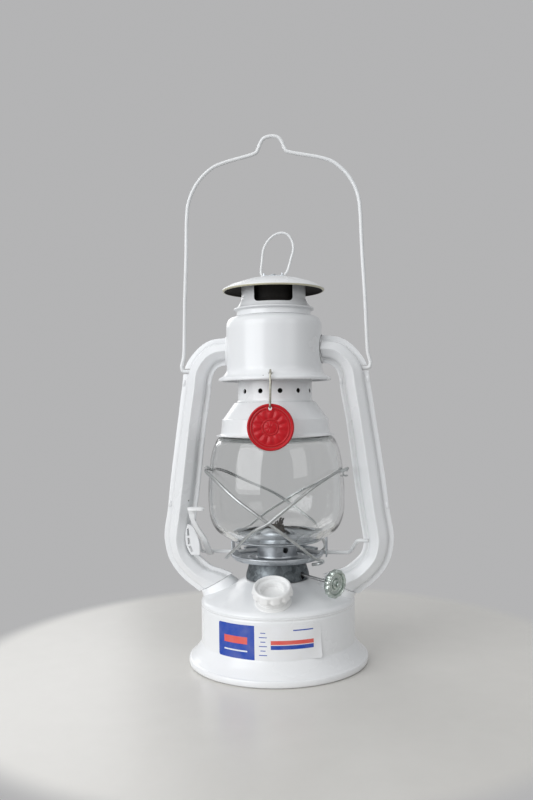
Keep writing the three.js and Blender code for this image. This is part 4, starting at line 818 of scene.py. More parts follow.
CAP_FOOT, SCALLOPS, SKIRT_RADIUS = 9.4, 10, 10.4


def scallops(turn, radius, height):
    """Dips in the cap's skirt, deepest at its lower edge."""
    z = height - CAP_FOOT
    if radius > SKIRT_RADIUS and z < 1.2:
        dip = max(0.0, math.cos(SCALLOPS * turn)) ** 1.6
        fade = max(0.0, min(1.0, (0.6 - z) / 2.4))
        return radius - 1.0 * dip * fade, height + 0.35 * dip * fade
    return radius, height


cap = [
    (7.55, -0.85), (9.55, -0.7), (9.55, -4.75), (10.2, -4.75), (10.25, -3.5), (11.9, -3.4), (12.5, -3.1),
    (12.5, -2.4), (12.2, -1.3), (11.9, -0.2), (11.75, 0.6), (11.4, 1.3), (10.8, 1.75), (10.2, 1.7),
    (9.75, 1.2), (9.5, 0.5), (9.45, -0.1), (8.9, -0.2), (8.7, -0.3), (7.6, -0.35), (7.2, -0.6), (7.1, -1.4),
    (6.85, -1.6), (7.05, -1.9), (7.05, -2.6), (6.8, -2.8), (7.0, -3.1), (7.0, -3.9), (6.6, -4.3),
    (0.01, -4.35), (0.01, -5.1), (7.2, -5.1), (7.55, -4.7),
]
cap = eased([(r, z + CAP_FOOT) for r, z in cap], 0.35)
cap_mesh = moved(spin(cap, 200, vary=scallops), onto_filler)
piece("filler_screw_cap", cap_mesh, white_cap_coat, "cap", "filler_cap", slot="white_enamel", sharp=55)
print("cap ring", round(2 * max(r for r, _ in cap), 1), "mm across")

# %% [markdown]
# ## Burner
# Between the cone and the lifting parts sits a dull galvanised collar. A slot in its side
# lets the wick shaft out. The shaft carries two toothed wheels that climb the wick, and
# ends in a knurled knob with a hub in a recess. The slot is cut with an exact boolean,
# because here a real hole is seen, with darkness behind it.

# %% Collar, burner body and wick tube
SHAFT = Vector((1.324, 1.757, 57.7))
SHAFT_AXIS = Vector((0.796688, -0.600349, -0.069756)).normalized()
collar = eased(
    [(12.3, 63.9), (16.9, 63.9), (17.4, 63.5), (17.55, 61.3), (19.45, 55.1), (19.6, 52.6), (20.35, 52.6),
     (20.4, 53.1), (20.25, 55.3), (18.75, 60.2), (18.4, 61.4), (18.3, 63.7), (17.9, 64.35), (12.3, 64.45)],
    0.45)
SLOT_RADIUS, SLOT_DROP = 1.7, Vector((0, 0, 1.3))
slot_ends = (SHAFT + SHAFT_AXIS * 9, SHAFT + SHAFT_AXIS * 26)
slot_cuts = [rod(SLOT_RADIUS, *slot_ends), rod(SLOT_RADIUS, *(end - SLOT_DROP for end in slot_ends))]
skirt = carved(spin(collar, 128), *slot_cuts)
piece("burner_skirt", skirt, dull_zinc, "stand", "burner_collar", slot="dull_zinc", sharp=50)

body = eased(
    [(0.01, 48.1), (15.6, 48.1), (15.6, 52.5), (19.2, 52.5), (19.2, 53.6), (9.8, 53.7), (9.7, 61.4),
     (0.01, 61.4)], 0.35)
onto_wick = Matrix.Rotation(math.radians(-37), 4, "Z")
WICK_BACK = 0.4


def slab(width, thickness, foot, top):
    """Flat upright block in line with the wick, between two heights."""
    corners = ((-1, -1), (1, -1), (1, 1), (-1, 1))
    outline = [(x * width / 2, y * thickness / 2 - WICK_BACK) for x, y in corners]
    return moved(prism(outline, (foot, top), "Z"), onto_wick)


def shaft_bore(radius, back, ahead):
    return rod(radius, SHAFT - SHAFT_AXIS * back, SHAFT + SHAFT_AXIS * ahead)


block = carved(spin(body, 72), slab(15.2, 3.4, 44, 66), shaft_bore(1.2, 8.5, 16), shaft_bore(1.8, 6.7, 6.7))
piece("burner_block", block, plain_steel, "stand", "burner_body", slot="plain_steel")
tube = carved(slab(15.1, 3.3, 40.6, 79.8), slab(14.0, 2.2, 36, 84), shaft_bore(1.8, 13, 13))
piece("wick_holder", tube, plain_steel, "stand", "wick_tube", slot="plain_steel", sharp=30)
print("burner block", round(2 * max(r for r, _ in body), 1), "mm across")

# %% Wick: a flat woven tape whose burnt tip is frayed into crooked threads
FRAY_FOOT, FRAY_HEIGHT = 80, 6
THREAD_FOOT, THREAD_LEAN, THREAD_STRETCH, THREAD_WIDTH = 84.2, 0.47, 1.45, 1.4


def wick_mesh():
    rings = []
    across, levels = 28, 30
    outline = [(-1 + 2 * i / across, -1) for i in range(across)]
    outline += [(1 - 2 * i / across, 1) for i in range(across)]
    foot, top = 28.2, 85.6
    for i in range(levels + 1):
        z = foot + (top - foot) * (i / levels)
        rise = max(0.0, (z - FRAY_FOOT) / FRAY_HEIGHT)
        ring = []
        for u, v in outline:
            ribs = 0.06 * math.cos(u * across * math.pi / 2) if i < levels else 0
            narrow = 1 - 0.14 * rise * rise
            ragged = 0.5 * noise.noise(Vector((u * 5, v, z))) * rise
            x = u * 6.6 * narrow + rise * 0.5 + ragged
            y = v * (0.76 + ribs) * (1 - 0.3 * rise) - WICK_BACK
            ring.append(Vector((x, y, z + 1.6 * noise.noise(Vector((u * 7, v * 2, 3))) * rise)))
        rings.append(ring)
    return moved(loft(rings), onto_wick)


piece("wick_tape", wick_mesh(), charred_wick, "wick_strip", "wick", slot="woven_cotton", sharp=60)
threads = [
    ((1.2, -0.3, 84.2), (1.9, -0.5, 86.4), (1.5, -0.2, 88.2), (2.4, -0.6, 88.8), 1.0),
    ((2.6, -0.5, 84.4), (3.1, -0.4, 86.3), (3.9, -0.7, 87.6), (4.3, -0.3, 88.9), 0.9),
    ((0.2, -0.4, 84.2), (0.4, -0.1, 85.8), (-0.3, -0.5, 86.6), (0.1, -0.4, 87.3), 0.8),
    ((3.5, -0.2, 84.3), (4.1, -0.6, 85.4), (4.0, -0.3, 86.2), (4.7, -0.4, 86.9), 0.7),
    ((-1.6, -0.5, 84.3), (-1.9, -0.2, 85.6), (-1.5, -0.4, 86.1), (-1.8, -0.5, 86.6), 0.6),
]
for i, (*points, thick) in enumerate(threads):
    line = []
    for x, y, z in points:
        rise = z - THREAD_FOOT
        line.append((x + THREAD_LEAN * rise, y, THREAD_FOOT + THREAD_STRETCH * rise))
    mesh = moved(wire_mesh(line, THREAD_WIDTH * thick, steps=4, sides=8), onto_wick)
    piece(f"wick_thread_{i + 1}", mesh, charred_wick, "wick_strip", slot="woven_cotton", sharp=60)
print("threads:", len(threads))

# %% Shaft with its toothed wheels, and the knob
onto_shaft = standing_at(SHAFT, SHAFT_AXIS)
TEETH, FLUTES, FLUTE_FOOT = 8, 14, 7.6


def spur_wheel(middle):
    rings = []
    for z, grow in ((-0.5, -0.12), (-0.4, 0), (0.4, 0), (0.5, -0.12)):
        ring = []
        for k in range(64):
            t = 2 * math.pi * k / 64
            r = 1.22 + 0.26 * squarish(math.cos(TEETH * t), 0.6) + grow
            ring.append(Vector((r * math.cos(t), r * math.sin(t), middle + z)))
        rings.append(ring)
    return loft(rings)


rod_mesh = spin(eased([(0.01, -8.2), (0.9, -8.2), (0.9, 45.3), (0.01, 45.3)], 0.2), 24)
piece("wick_shaft", moved(rod_mesh, onto_shaft), plain_steel, "wick_drive", "spur_shaft", slot="plain_steel")
for i, place in enumerate((-4, 4)):
    wheel = moved(spur_wheel(place), onto_shaft)
    piece(f"spur_wheel_{i + 1}", wheel, plain_steel, "wick_drive", slot="plain_steel", sharp=30)


def flutes(turn, radius, height):
    """Shallow grip flutes round the knob's rim."""
    if radius > FLUTE_FOOT:
        depth = 0.5 - 0.5 * math.cos(FLUTES * turn)
        return radius - 0.75 * depth ** 1.5 * min(1, (radius - FLUTE_FOOT) / 0.8), height
    return radius, height


KNOB_FOOT = 44.15
knob = [
    (1.25, 0), (3.1, 0), (5.0, 0.15), (7.0, 0.35), (8.1, 0.8), (8.75, 1.5), (8.88, 2.3), (8.88, 3.6),
    (8.6, 4.4), (7.9, 4.9), (7.2, 4.95), (6.75, 4.6), (6.5, 4.0), (6.35, 3.1), (5.7, 2.8), (4.0, 2.75),
    (3.4, 2.9), (3.15, 3.4), (2.9, 4.0), (2.4, 4.2), (1.75, 4.25), (1.65, 5.0), (1.6, 5.9), (1.3, 6.3),
    (0.01, 6.4), (0.01, 1.5), (1.25, 1.5),
]
knob_mesh = moved(spin(eased([(r, z + KNOB_FOOT) for r, z in knob], 0.22), 168, vary=flutes), onto_shaft)
piece("wick_wheel_knob", knob_mesh, knob_plating, "wick_drive", "wick_knob", slot="bright_zinc", sharp=45)
print("knob", round(2 * max(r for r, _ in knob), 1), "mm across")

# %% [markdown]
# ## Dish, dome and globe plate
# These three move with the globe. The dish is a shallow pan with a rolled rim and pressed
# rings, and its neck has air holes. Over it sits the dome with the slot that shapes the
# flame, and round the dome the plate that carries the glass. Each is one lathe form, so
# the pressed rings that catch the light cost nothing but a few more outline points.

# %% Air dish
dish = eased(
    [(12.1, 64.85), (26.4, 64.85), (27.9, 65.2), (29.2, 66.4), (29.9, 67.3), (30.2, 68.1), (30.1, 68.7),
     (29.5, 68.9), (28.9, 68.6), (28.5, 67.8), (27.3, 66.6), (26.0, 66.0), (24.9, 65.85), (24.3, 66.25),
     (23.3, 66.3), (22.7, 65.9), (18.8, 65.8), (18.2, 66.2), (17.2, 66.25), (16.6, 65.85), (14.2, 65.9),
     (13.2, 66.5), (12.9, 67.5), (12.9, 70.0), (12.75, 75.95), (12.15, 75.95), (12.1, 66.2)], 0.35)
notch = [(20.2, 7.4), (32.2, 7.4), (32.2, 16.9), (20.2, 16.9)]
notches = [prism([(x * side, y) for x, y in notch], (66.0, 72), "Z") for _, side in SIDES]
air_holes = [rod(1.9, around(9, azimuth, 71.6), around(16, azimuth, 71.6)) for azimuth in (32, 152, 272)]
pan = carved(spin(dish, 144), *notches, *air_holes)
piece("air_pan", pan, bright_zinc, "globe_carrier", "air_dish", slot="bright_zinc", sharp=50)
print("dish", round(2 * max(r for r, _ in dish), 1), "mm across")

# %% Flame dome
dome = eased(
    [(10.3, 75.25), (11.75, 75.25), (11.8, 75.95), (11.35, 76.15), (11.25, 76.9), (10.95, 78.3),
     (10.2, 79.9), (8.9, 81.2), (6.9, 82.15), (3.6, 82.7), (0.01, 82.8), (0.01, 82.2), (3.5, 82.1),
     (6.6, 81.6), (8.4, 80.7), (9.6, 79.5), (10.3, 78.0)], 0.4)


def dented(turn, radius, height):
    """The dome's crown leans a little, as thin sheet does after years of heat."""
    crown, depth, towards = 79, 0.25, 1.2
    if height > crown:
        return radius, height - depth * max(0, math.cos(turn - towards)) * (height - crown) / 4
    return radius, height


slotted = carved(spin(dome, 96, vary=dented), slab(23.2, 5.2, 77.6, 86))
piece("flame_dome", slotted, bright_zinc, "globe_carrier", "burner_dome", slot="bright_zinc", sharp=50)
print("dome top at", round(max(z for _, z in dome), 1), "mm")

# %% Globe plate with its two slotted ears
plate = eased(
    [(13.2, 74.55), (13.95, 74.55), (14.1, 75.9), (14.6, 76.3), (19.5, 76.3), (20.2, 76.0), (21.6, 76.0),
     (22.3, 76.35), (27.4, 76.45), (28.5, 76.7), (29.2, 77.1), (29.4, 77.6), (29.15, 78.0), (28.6, 77.9),
     (28.1, 77.4), (27.4, 77.15), (26.6, 77.1), (22.2, 77.1), (21.5, 76.7), (20.3, 76.7), (19.6, 77.05),
     (14.3, 77.05), (13.4, 76.9), (13.2, 76.4)], 0.3)
seat = spin(plate, 144)
piece("globe_seat", seat, bright_zinc, "globe_carrier", "globe_plate", slot="bright_zinc", sharp=50)


def ear(side):
    """Folded strap: out from the plate's rim, down past the lift wire, with a closed slot."""
    path = [(23.8, 77.2), (27.2, 77.25), (29.9, 77.15), (30.8, 76.7), (31.05, 75.9), (31.05, 64.2)]
    path = smooth_path([(x, 0, z) for x, z in path], 5)
    rings = []
    for i, point in enumerate(path):
        ahead = path[min(i + 1, len(path) - 1)] - path[max(i - 1, 0)]
        out = Vector((-ahead.z, 0, ahead.x)).normalized() * 0.42
        half = 4.9 - 1.4 * max(0.0, (68 - point.z) / 4) ** 2
        ring = []
        for u, v in ((-1, -1), (-0.93, -1), (0.93, -1), (1, -1), (1, 1), (0.93, 1), (-0.93, 1), (-1, 1)):
            p = point + out * v + Vector((0, 11.0 + u * half, 0))
            ring.append(Vector((p.x * side, p.y, p.z)))
        rings.append(ring)
    corners = [(7.5, 65.4), (14.6, 65.4), (14.6, 68.7), (7.5, 68.7)]
    return carved(loft(rings), prism(corners, (29.5 * side, 33 * side), "X"))


for word, side in SIDES:
    piece(f"{word}_plate_ear", ear(side), bright_zinc, "globe_carrier", slot="bright_zinc", sharp=35)
print("plate", round(2 * max(r for r, _ in plate), 1), "mm across")

# %% [markdown]
# ## Globe
# The globe is blown glass about two millimetres thick, widest a third of the way up, with a
# soft shoulder under the bell. Glass only looks right with both of its surfaces, because
# the bright rims come from light that is bent between them, so the outline runs up the
# outside and back down the inside and is turned as one closed skin.

# %% Glass globe
outside = [
    (26.6, 77.3), (28.4, 77.45), (30.2, 78.0), (32.6, 79.3), (35.2, 80.9), (37.6, 82.6), (39.5, 84.6),
    (40.9, 86.9), (42.2, 89.9), (43.1, 93.4), (43.7, 98.4), (43.9, 103.2), (43.9, 109), (43.6, 115.4),
    (43.0, 122.4), (42.1, 129.4), (41.0, 134.4), (39.7, 138.2), (38.3, 141.2), (36.4, 143.3), (34.5, 144.4),
    (33.5, 145.6), (32.95, 147.6), (32.9, 154.2),
]
inside = [
    (30.9, 154.2), (30.95, 148), (31.5, 145.1), (33.0, 142.9), (35.2, 141.6), (36.9, 139.8), (38.2, 137.3),
    (39.3, 133.9), (40.3, 129), (41.1, 122.2), (41.7, 115.2), (41.9, 109), (41.9, 103.3), (41.7, 98.8),
    (41.1, 94.0), (40.2, 90.8), (38.9, 88.0), (37.5, 86.0), (35.6, 84.2), (33.4, 82.6), (31.2, 81.2),
    (29.2, 80.1), (26.4, 79.5),
]


def drawn(points):
    """Finer outline, on a smooth curve through the points."""
    return [(q.x, q.y) for q in smooth_path([(x, y, 0) for x, y in points], 4)]


globe_outline = [
    *drawn(outside), (32.4, 154.75), (31.4, 154.75), *drawn(inside), (25.9, 79.0), (26.0, 77.8),
]
globe_mesh = spin(globe_outline, 192)
piece("glass_chimney_globe", globe_mesh, clear_glass, "globe_carrier", "globe", slot="clear_glass", sharp=80)
print("globe", round(2 * max(r for r, _ in globe_outline), 1), "mm across")

# %% [markdown]
# ## Guard, lift wire and lever
# Two bent wires cross in front of and behind the glass. The third wire runs across the
# lantern between the tubes: it is cranked, so that pressing the lever turns it and lifts
# the plate. A curve object with a bevel could draw these. A swept mesh is used instead,
# because its ends can be eased like a cut and dressed wire.

# %% Guard wires and their small clips
# A place on a wire is a turn from the front in half circles, a share of the wire's reach
# and a share of its rise. The upper bends lie nearer to the glass, at BEND_RADIUS.
GUARD_REACH, GUARD_FOOT, GUARD_RISE, GUARD_WIDTH = 50.4, 64.8, 57.6, 1.9
BEND_RADIUS = 46.2
BEND = BEND_RADIUS / GUARD_REACH
guard_shares = [
    (-0.32, 0.556, -0.021), (-0.32, 0.607, -0.005), (-0.32, 0.647, 0.03), (-0.3, 0.714, 0.073),
    (-0.25, 0.764, 0.142), (-0.17, 0.85, 0.272), (-0.085, 0.94, 0.411), (0, 1, 0.549),
    (0.085, 0.995, 0.672), (0.17, (0.98 + BEND) / 2, 0.776), (0.28, (0.93 + BEND) / 2, 0.889),
    (0.39, BEND, 0.969),
]
back_half = [(0.5, BEND, 1)] + [(1 - turn, share, rise) for turn, share, rise in reversed(guard_shares)]
hooked_front = [
    (-0.32, 0.556, -0.021), (-0.35, 0.62, -0.014), (-0.345, 0.694, 0.019), (-0.26, 0.724, 0.078),
    (-0.154, 0.813, 0.227), (-0.082, 0.893, 0.359), (-0.009, 1, 0.505), (0.061, 1, 0.635),
    (0.124, 0.992, 0.738), (0.238, 0.982, 0.913), (0.36, 0.967, 1),
]
free_front = [
    (-0.3, 0.724, 0.063), (-0.222, 0.774, 0.137), (-0.131, 0.845, 0.269), (-0.059, 0.923, 0.408),
    (0.011, 0.992, 0.51), (0.041, 1, 0.575), (0.123, 1, 0.745), (0.174, 0.985, 0.839),
    (0.322, 0.935, 0.985), (0.4, 0.925, 0.998),
]


def guard_wire(side, inset, front):
    """One wire: its own front and the back half they share. `inset` keeps it inside the other one."""
    points = []
    for turn, share, rise in front + back_half:
        reach = share * GUARD_REACH - (inset if share > 0.9 else 0)
        points.append(around(reach, -side * turn * 180, GUARD_FOOT + rise * GUARD_RISE))
    return wire_mesh(points, GUARD_WIDTH, steps=7, sides=16)


def guard_clip(side, place, rise):
    """Open ring of thin wire that is bent round the guard."""
    radius, steps = 1.75, 12
    points = []
    for i in range(steps + 1):
        turn = math.radians(45 + i * 270 / steps)
        across, height = place + radius * math.cos(turn), rise + radius * math.sin(turn)
        points.append((across * side, 0.25 * (i - 6) / 6, height))
    return wire_mesh(points, 1.0, steps=3, sides=12)


for name, mesh, node_name in (
    ("guard_cross_wire_a", guard_wire(1, 2.5, hooked_front), "guard_wire_a"),
    ("guard_cross_wire_b", guard_wire(-1, 0, free_front), "guard_wire_b"),
    ("left_wire_clip", guard_clip(-1, 46.2, 122.4), "guard_clip_left"),
    ("right_wire_clip", guard_clip(1, 44.9, 119.4), "guard_clip_right"),
):
    piece(name, mesh, guard_zinc, "globe_carrier", node_name, slot="bright_zinc")
print("guard bends at a radius of", BEND_RADIUS, "mm")

# %% Cranked lift wire
LEVER_AXIS, CRANK_FORWARD, CRANK_DROP, LIFT_WIRE_WIDTH = 76.4, 9.03, -9.35, 2.4
half_wire = [
    (58.4, 0, 0), (55.9, 0, 0), (53.3, 0, 0), (52.4, 0.12 * CRANK_FORWARD, 0.12 * CRANK_DROP),
    (52.4, 0.82 * CRANK_FORWARD, 0.82 * CRANK_DROP), (51.5, CRANK_FORWARD, CRANK_DROP),
    (48.9, CRANK_FORWARD, CRANK_DROP), (32.4, CRANK_FORWARD, CRANK_DROP), (28.0, CRANK_FORWARD, CRANK_DROP),
    (25.8, CRANK_FORWARD + 0.33, CRANK_DROP), (21.0, (CRANK_FORWARD + 17) / 2, CRANK_DROP),
    (11.2, 17, CRANK_DROP),
]
right_bend = [(51.9, 0.03), (50.6, 0.2), (49.0, 0.5), (47.4, 0.8), (45.8, 0.97), (43.9, 1.0)]
right_half = half_wire[:2] + [(53.2, 0, 0)]
right_half += [(x, share * CRANK_FORWARD, share * CRANK_DROP) for x, share in right_bend] + half_wire[7:]
cranked = right_half + [(-x, y, z) for x, y, z in reversed(half_wire)]
crank_mesh = moved(wire_mesh(cranked, LIFT_WIRE_WIDTH, steps=6, sides=18), up_by(LEVER_AXIS))
piece("cranked_lift_wire", crank_mesh, white_wire_coat, "lifter", "lift_wire", slot="white_wire")
print("lift wire spans", 2 * half_wire[0][0], "mm")

# %% Strip lever with its thumb tab
lever_path = [
    (11.3, -9.3), (10.0, -11.4), (6.9, -10.2), (1.9, -5.5), (-6.6, 2.2), (-10.8, 9.6), (-11.9, 15),
    (-11.8, 19.2), (-12.2, 21.4), (-13.6, 22.3), (-14.9, 21.9), (-15.3, 20.6),
]
lever_widths = [4, 4, 4, 4, 3.4, 3.2, 3.2, 4.2, 8.6, 11, 11, 10.2]
lever_shifts = [0, 0, 0, 0, 0.8, 4.6, 7.0, 7.0, 2.6, 0.1, 0, 0.3]
strip_half = [(-1, -0.6), (-0.96, -1), (-0.5, -1), (0.5, -1), (0.96, -1), (1, -0.6)]
strip_section = strip_half + [(u, -v) for u, v in reversed(strip_half)]


def strip_mesh(path, widths, shifts, inner, thickness=0.9, steps=6):
    """Strip along a path of (y, z), with a width and a shift to the left at each of its points."""
    line = smooth_path([(0, y, z) for y, z in path], steps)
    rings = []
    for i, point in enumerate(line):
        at = min(i / steps, len(widths) - 1.0001)
        k = int(at)
        share = at - k
        width, shift = (row[k] * (1 - share) + row[k + 1] * share for row in (widths, shifts))
        ahead = (line[min(i + 1, len(line) - 1)] - line[max(i - 1, 0)]).normalized()
        out = Vector((0, -ahead.z, ahead.y)) * (thickness / 2)
        middle = Vector((inner - shift - width / 2, point.y, point.z))
        ring = []
        for u, v in strip_section:
            dish_in = 0.35 * (1 - u * u) * min(1.0, max(0.0, (width - 4) / 5))
            ring.append(middle + Vector((u * width / 2, 0, 0)) + out * v - out.normalized() * dish_in)
        rings.append(ring)
    return loft(rings)


lever = moved(strip_mesh(lever_path, lever_widths, lever_shifts, -44.5), up_by(LEVER_AXIS))
piece("thumb_lever", lever, white_wire_coat, "lifter", "lift_lever", slot="white_wire", sharp=45)
print("tab", max(lever_widths), "mm wide")

# %% Guide flap: a curved sheet beside the tube, with three slots that the light shows through
def flap_mesh():
    front, back, steps = -5.98, -5.25, 10
    edge_outer = [
        (-57.9, 87.0), (-58.9, 83.5), (-59.3, 79.5), (-59.2, 76.0), (-58.4, 72.6), (-57.3, 70.0),
        (-55.6, 67.3),
    ]
    edge_inner = [
        (-56.6, 87.0), (-54.2, 85.2), (-52.4, 81.6), (-50.9, 78.0), (-50.1, 74.0), (-50.0, 70.5),
        (-50.1, 67.3),
    ]
    outer = smooth_path([(x, 0, z) for x, z in edge_outer], 5)
    inner = smooth_path([(x, 0, z) for x, z in edge_inner], 5)
    rings = []
    for a, b in zip(outer, inner):
        across = [a.lerp(b, k / steps) for k in range(steps + 1)]
        face = [Vector((p.x, front, p.z)) for p in across]
        rings.append(face + [Vector((p.x, back, p.z)) for p in across[::-1]])
    return loft(rings)


slot_outlines = [
    [(-58.2, 84.0), (-57.1, 84.4), (-56.7, 79.7), (-58.1, 79.4)],
    [(-58.0, 78.2), (-56.7, 78.2), (-56.1, 74.4), (-57.6, 74.0)],
    [(-57.2, 72.9), (-55.8, 73.1), (-54.0, 69.6), (-55.6, 69.0)],
]
flap = carved(flap_mesh(), *[prism(outline, (-8, -3), "Y") for outline in slot_outlines])
piece("lever_flap", flap, white_enamel, "stand", "lever_guide", slot="white_enamel", sharp=35)
print("slots in the flap:", len(slot_outlines))

# %% [markdown]
# ## Side tubes
# Each tube is two pressed half shells, front and back, that meet in flat seams along both
# edges. In section a half is a narrow flange, a short steep side and a low roof with a
# soft crest in the middle, and that crest is what draws the long line down each tube. The
# halves are lofted: the same section is placed at stations measured along the tube, with
# a smooth curve through them, and stretched to the tube's width at each one.

# %% Section and stations of a tube
TUBE_REACH, TUBE_TOP, TUBE_DEPTH, SEAM = 74.65, 208.0, 7.5, 0.15
FLANGE, SHEET, HOOD_WALL, MOUTH_HEIGHT, FOOT_HALF = 0.75, 0.7, 31.2, 17.8, 12.6
TUBE_FOOT = LANDING.z - FOOT_HALF * math.sin(LANDING_TILT)
BAIL_AXIS = 186.5
station_shares = [
    (0.568, 0.990, 0.480, 0.887), (0.674, 0.960, 0.525, 0.872), (0.789, 0.891, 0.552, 0.845),
    (0.826, 0.800, 0.569, 0.782), (0.861, 0.691, 0.608, 0.679), (0.940, 0.436, 0.680, 0.412),
    (0.969, 0.321, 0.713, 0.309), (0.997, 0.248, 0.738, 0.230), (1.000, 0.206, 0.746, 0.200),
    (0.968, 0.137, 0.722, 0.160), (0.902, 0.085, 0.672, 0.135), (0.808, 0.041, 0.580, 0.103),
    (0.748, 0.021, 0.498, 0.091),
]
roof = [
    (-1, 0.07), (-0.985, 0.2), (-0.95, 0.34), (-0.88, 0.45), (-0.78, 0.53), (-0.6, 0.64), (-0.4, 0.76),
    (-0.2, 0.89), (-0.1, 0.955), (-0.04, 0.99), (0, 1.0),
]
roof += [(-t, d) for t, d in reversed(roof[:-1])]


def tube_section(width):
    """Closed section of one half: (across from the inner edge, depth) in mm."""
    middle, half, top = width / 2, width / 2 - 3.7, SEAM + FLANGE
    over = [
        (0.0, SEAM + 0.1), (0.0, top - 0.15), (0.2, top), (1.5, top), (1.75, top - 0.3), (3.2, top - 0.3),
    ]
    over += [(middle + t * half, top + d * (TUBE_DEPTH - SEAM - FLANGE)) for t, d in roof]
    over += [(width - 3.2, top - 0.2), (width - 0.2, top), (width, top - 0.15), (width, SEAM + 0.1)]
    under = [(width - 0.1, SEAM), (width - 4.1, SEAM)]
    inner = half - SHEET
    under += [(middle + t * inner, SEAM + d * (TUBE_DEPTH - SEAM - SHEET)) for t, d in reversed(roof)]
    under += [(4.1, SEAM), (0.1, SEAM)]
    return over + under


def tube_stations():
    """(outer edge, inner edge) of the tube's outline, from the hood down to the cone."""
    ends = [(Vector((HOOD_WALL, TUBE_TOP, 0)), Vector((HOOD_WALL, TUBE_TOP - MOUTH_HEIGHT, 0)))]
    rise = TUBE_TOP - TUBE_FOOT
    for shares in station_shares:
        ends.append([Vector((x * TUBE_REACH, TUBE_FOOT + z * rise, 0)) for x, z in (shares[:2], shares[2:])])
    along = Vector((math.cos(LANDING_TILT), -math.sin(LANDING_TILT), 0))
    out = Vector((math.sin(LANDING_TILT), math.cos(LANDING_TILT), 0))
    middle = Vector((LANDING.x, LANDING.z, 0)) + out * 0.3
    ends.append((middle + along * FOOT_HALF, middle - along * FOOT_HALF))
    return list(zip(*(smooth_path(edge, 8) for edge in zip(*ends))))


def tube_half(side, face):
    """One half shell, bored for the bail and for the lift wire."""
    rings = []
    for i, (outer, inner) in enumerate(tube_stations()):
        across = outer - inner
        width = across.length
        across.normalize()
        ring = []
        for along_width, deep in tube_section(width):
            x = inner.x + across.x * along_width
            if i == 0:
                x = math.sqrt(max(HOOD_WALL ** 2 - deep ** 2, 0))
            ring.append(Vector((side * x, face * deep, inner.y + across.y * along_width)))
        rings.append(ring)
    bail_bore = rod(2.0, (side * 54, 0, BAIL_AXIS), (side * 70, 0, BAIL_AXIS))
    wire_bore = rod(1.4, (side * 53, 0, LEVER_AXIS), (side * 59, 0, LEVER_AXIS))
    return carved(loft(rings), bail_bore, wire_bore)


for word, side in SIDES:
    for face_word, face in (("front", -1), ("back", 1)):
        node_name = f"{word}_tube_{face_word}"
        shell = tube_half(side, face)
        piece(f"{node_name}_shell", shell, white_enamel, "stand", node_name, slot="white_enamel", sharp=50)
print("tubes span", 2 * TUBE_REACH, "mm")

# %% [markdown]
# ## Crimps on the seams
# The seams are not welded. Small tongues of one flange are folded over the other, and show
# as short thickened lumps with a fine gap on either side. They are small but regular, so
# one rounded form is built and set along the seams by a table of places.

# %% Folded tongues
def tongue(side, inner_edge, rise, length=4.6):
    """Rounded lump round the two flanges, where the tube's edge passes a height."""
    edge, other = list(zip(*tube_stations()))[::-1 if inner_edge else 1]
    first = 8 if inner_edge else 1
    index = min(range(first, len(edge) - 1), key=lambda i: abs(edge[i].y - rise))
    place, inward = edge[index], (other[index] - edge[index]).normalized()
    along = (edge[index + 1] - edge[index - 1]).normalized()
    place = place + along * ((rise - place.y) / along.y if abs(along.y) > 0.3 else 0)
    inward = (inward - along * inward.dot(along)).normalized()
    rings = []
    for step, grow in ((-0.5, 0.2), (-0.47, 0.75), (-0.38, 1), (0.38, 1), (0.47, 0.75), (0.5, 0.2)):
        ring = []
        for k in range(20):
            t = 2 * math.pi * k / 20
            c, s = math.cos(t), math.sin(t)
            deep = 1.18 * grow * squarish(s, 0.55)
            wide = 1.1 + 0.95 * grow * squarish(c, 0.55)
            p = place + along * (step * length) + inward * wide
            ring.append(Vector((side * p.x, deep, p.y)))
        rings.append(ring)
    return loft(rings)


tongue_places = [
    (-1, False, 179.0), (-1, True, 178.0), (-1, False, 100.0), (1, False, 179.5), (1, True, 178.0),
    (1, False, 99.0),
]
for i, (side, inner_edge, rise) in enumerate(tongue_places):
    lump = tongue(side, inner_edge, rise)
    piece(f"seam_tongue_{i + 1}", lump, white_enamel, "stand", slot="white_enamel", sharp=60)
print("tongues:", len(tongue_places))

# %% [markdown]
# ## Bell and sliding chimney
# The bell holds the top of the globe. Its skirt, cone and neck are one spun sheet, with
# twelve small air holes round the neck. The chimney stands on it and slides in the hood
# against a spring. The holes are cut through the thin wall, so they go dark by themselves.

# %% Soot on the inner faces of a turned piece
def soot_inside(made, test, finish=soot_and_shade):
    """Second finish on the faces that pass a test of centre in mm, normal, and facing the axis."""
    made.data.materials.append(finish)
    count, slot_index = 0, len(made.data.materials) - 1
    for face in made.data.polygons:
        radial = Vector((face.center.x, face.center.y, 0))
        inward = radial.length > SAME_PLACE and face.normal.dot(radial.normalized()) < -0.25
        if test(face.center / MM, face.normal, inward):
            face.material_index = slot_index
            count += 1
    return count


# %% Bell
bell = eased(
    [(38.25, 144.05), (38.25, 144.5), (36.4, 144.75), (35.7, 145.2), (35.2, 146.2), (34.5, 154.0),
     (34.45, 154.6), (33.7, 155.0), (26.7, 164.6), (26.2, 165.3), (25.3, 165.7), (24.6, 166.0),
     (24.1, 166.7), (24.0, 168.0), (24.0, 184.6), (23.8, 185.45), (23.4, 185.45), (23.4, 168.0),
     (23.6, 166.3), (25.2, 165.0), (26.0, 164.4), (33.4, 154.6), (33.75, 153.8), (34.6, 146.4),
     (34.7, 144.9), (35.5, 144.15)],
    0.4)
VENTS, FIRST_VENT, VENT_HEIGHT = 12, 15.5, 172.5
vents = []
for i in range(VENTS):
    azimuth = FIRST_VENT + 30 * i
    vents.append(rod(1.55, around(20, azimuth, VENT_HEIGHT), around(28, azimuth, VENT_HEIGHT), sides=20))
bell_mesh = carved(spin(bell, 168), *vents)
bell_piece = piece("globe_bell", bell_mesh, white_enamel, "chimney", "bell", slot="white_enamel", sharp=50)
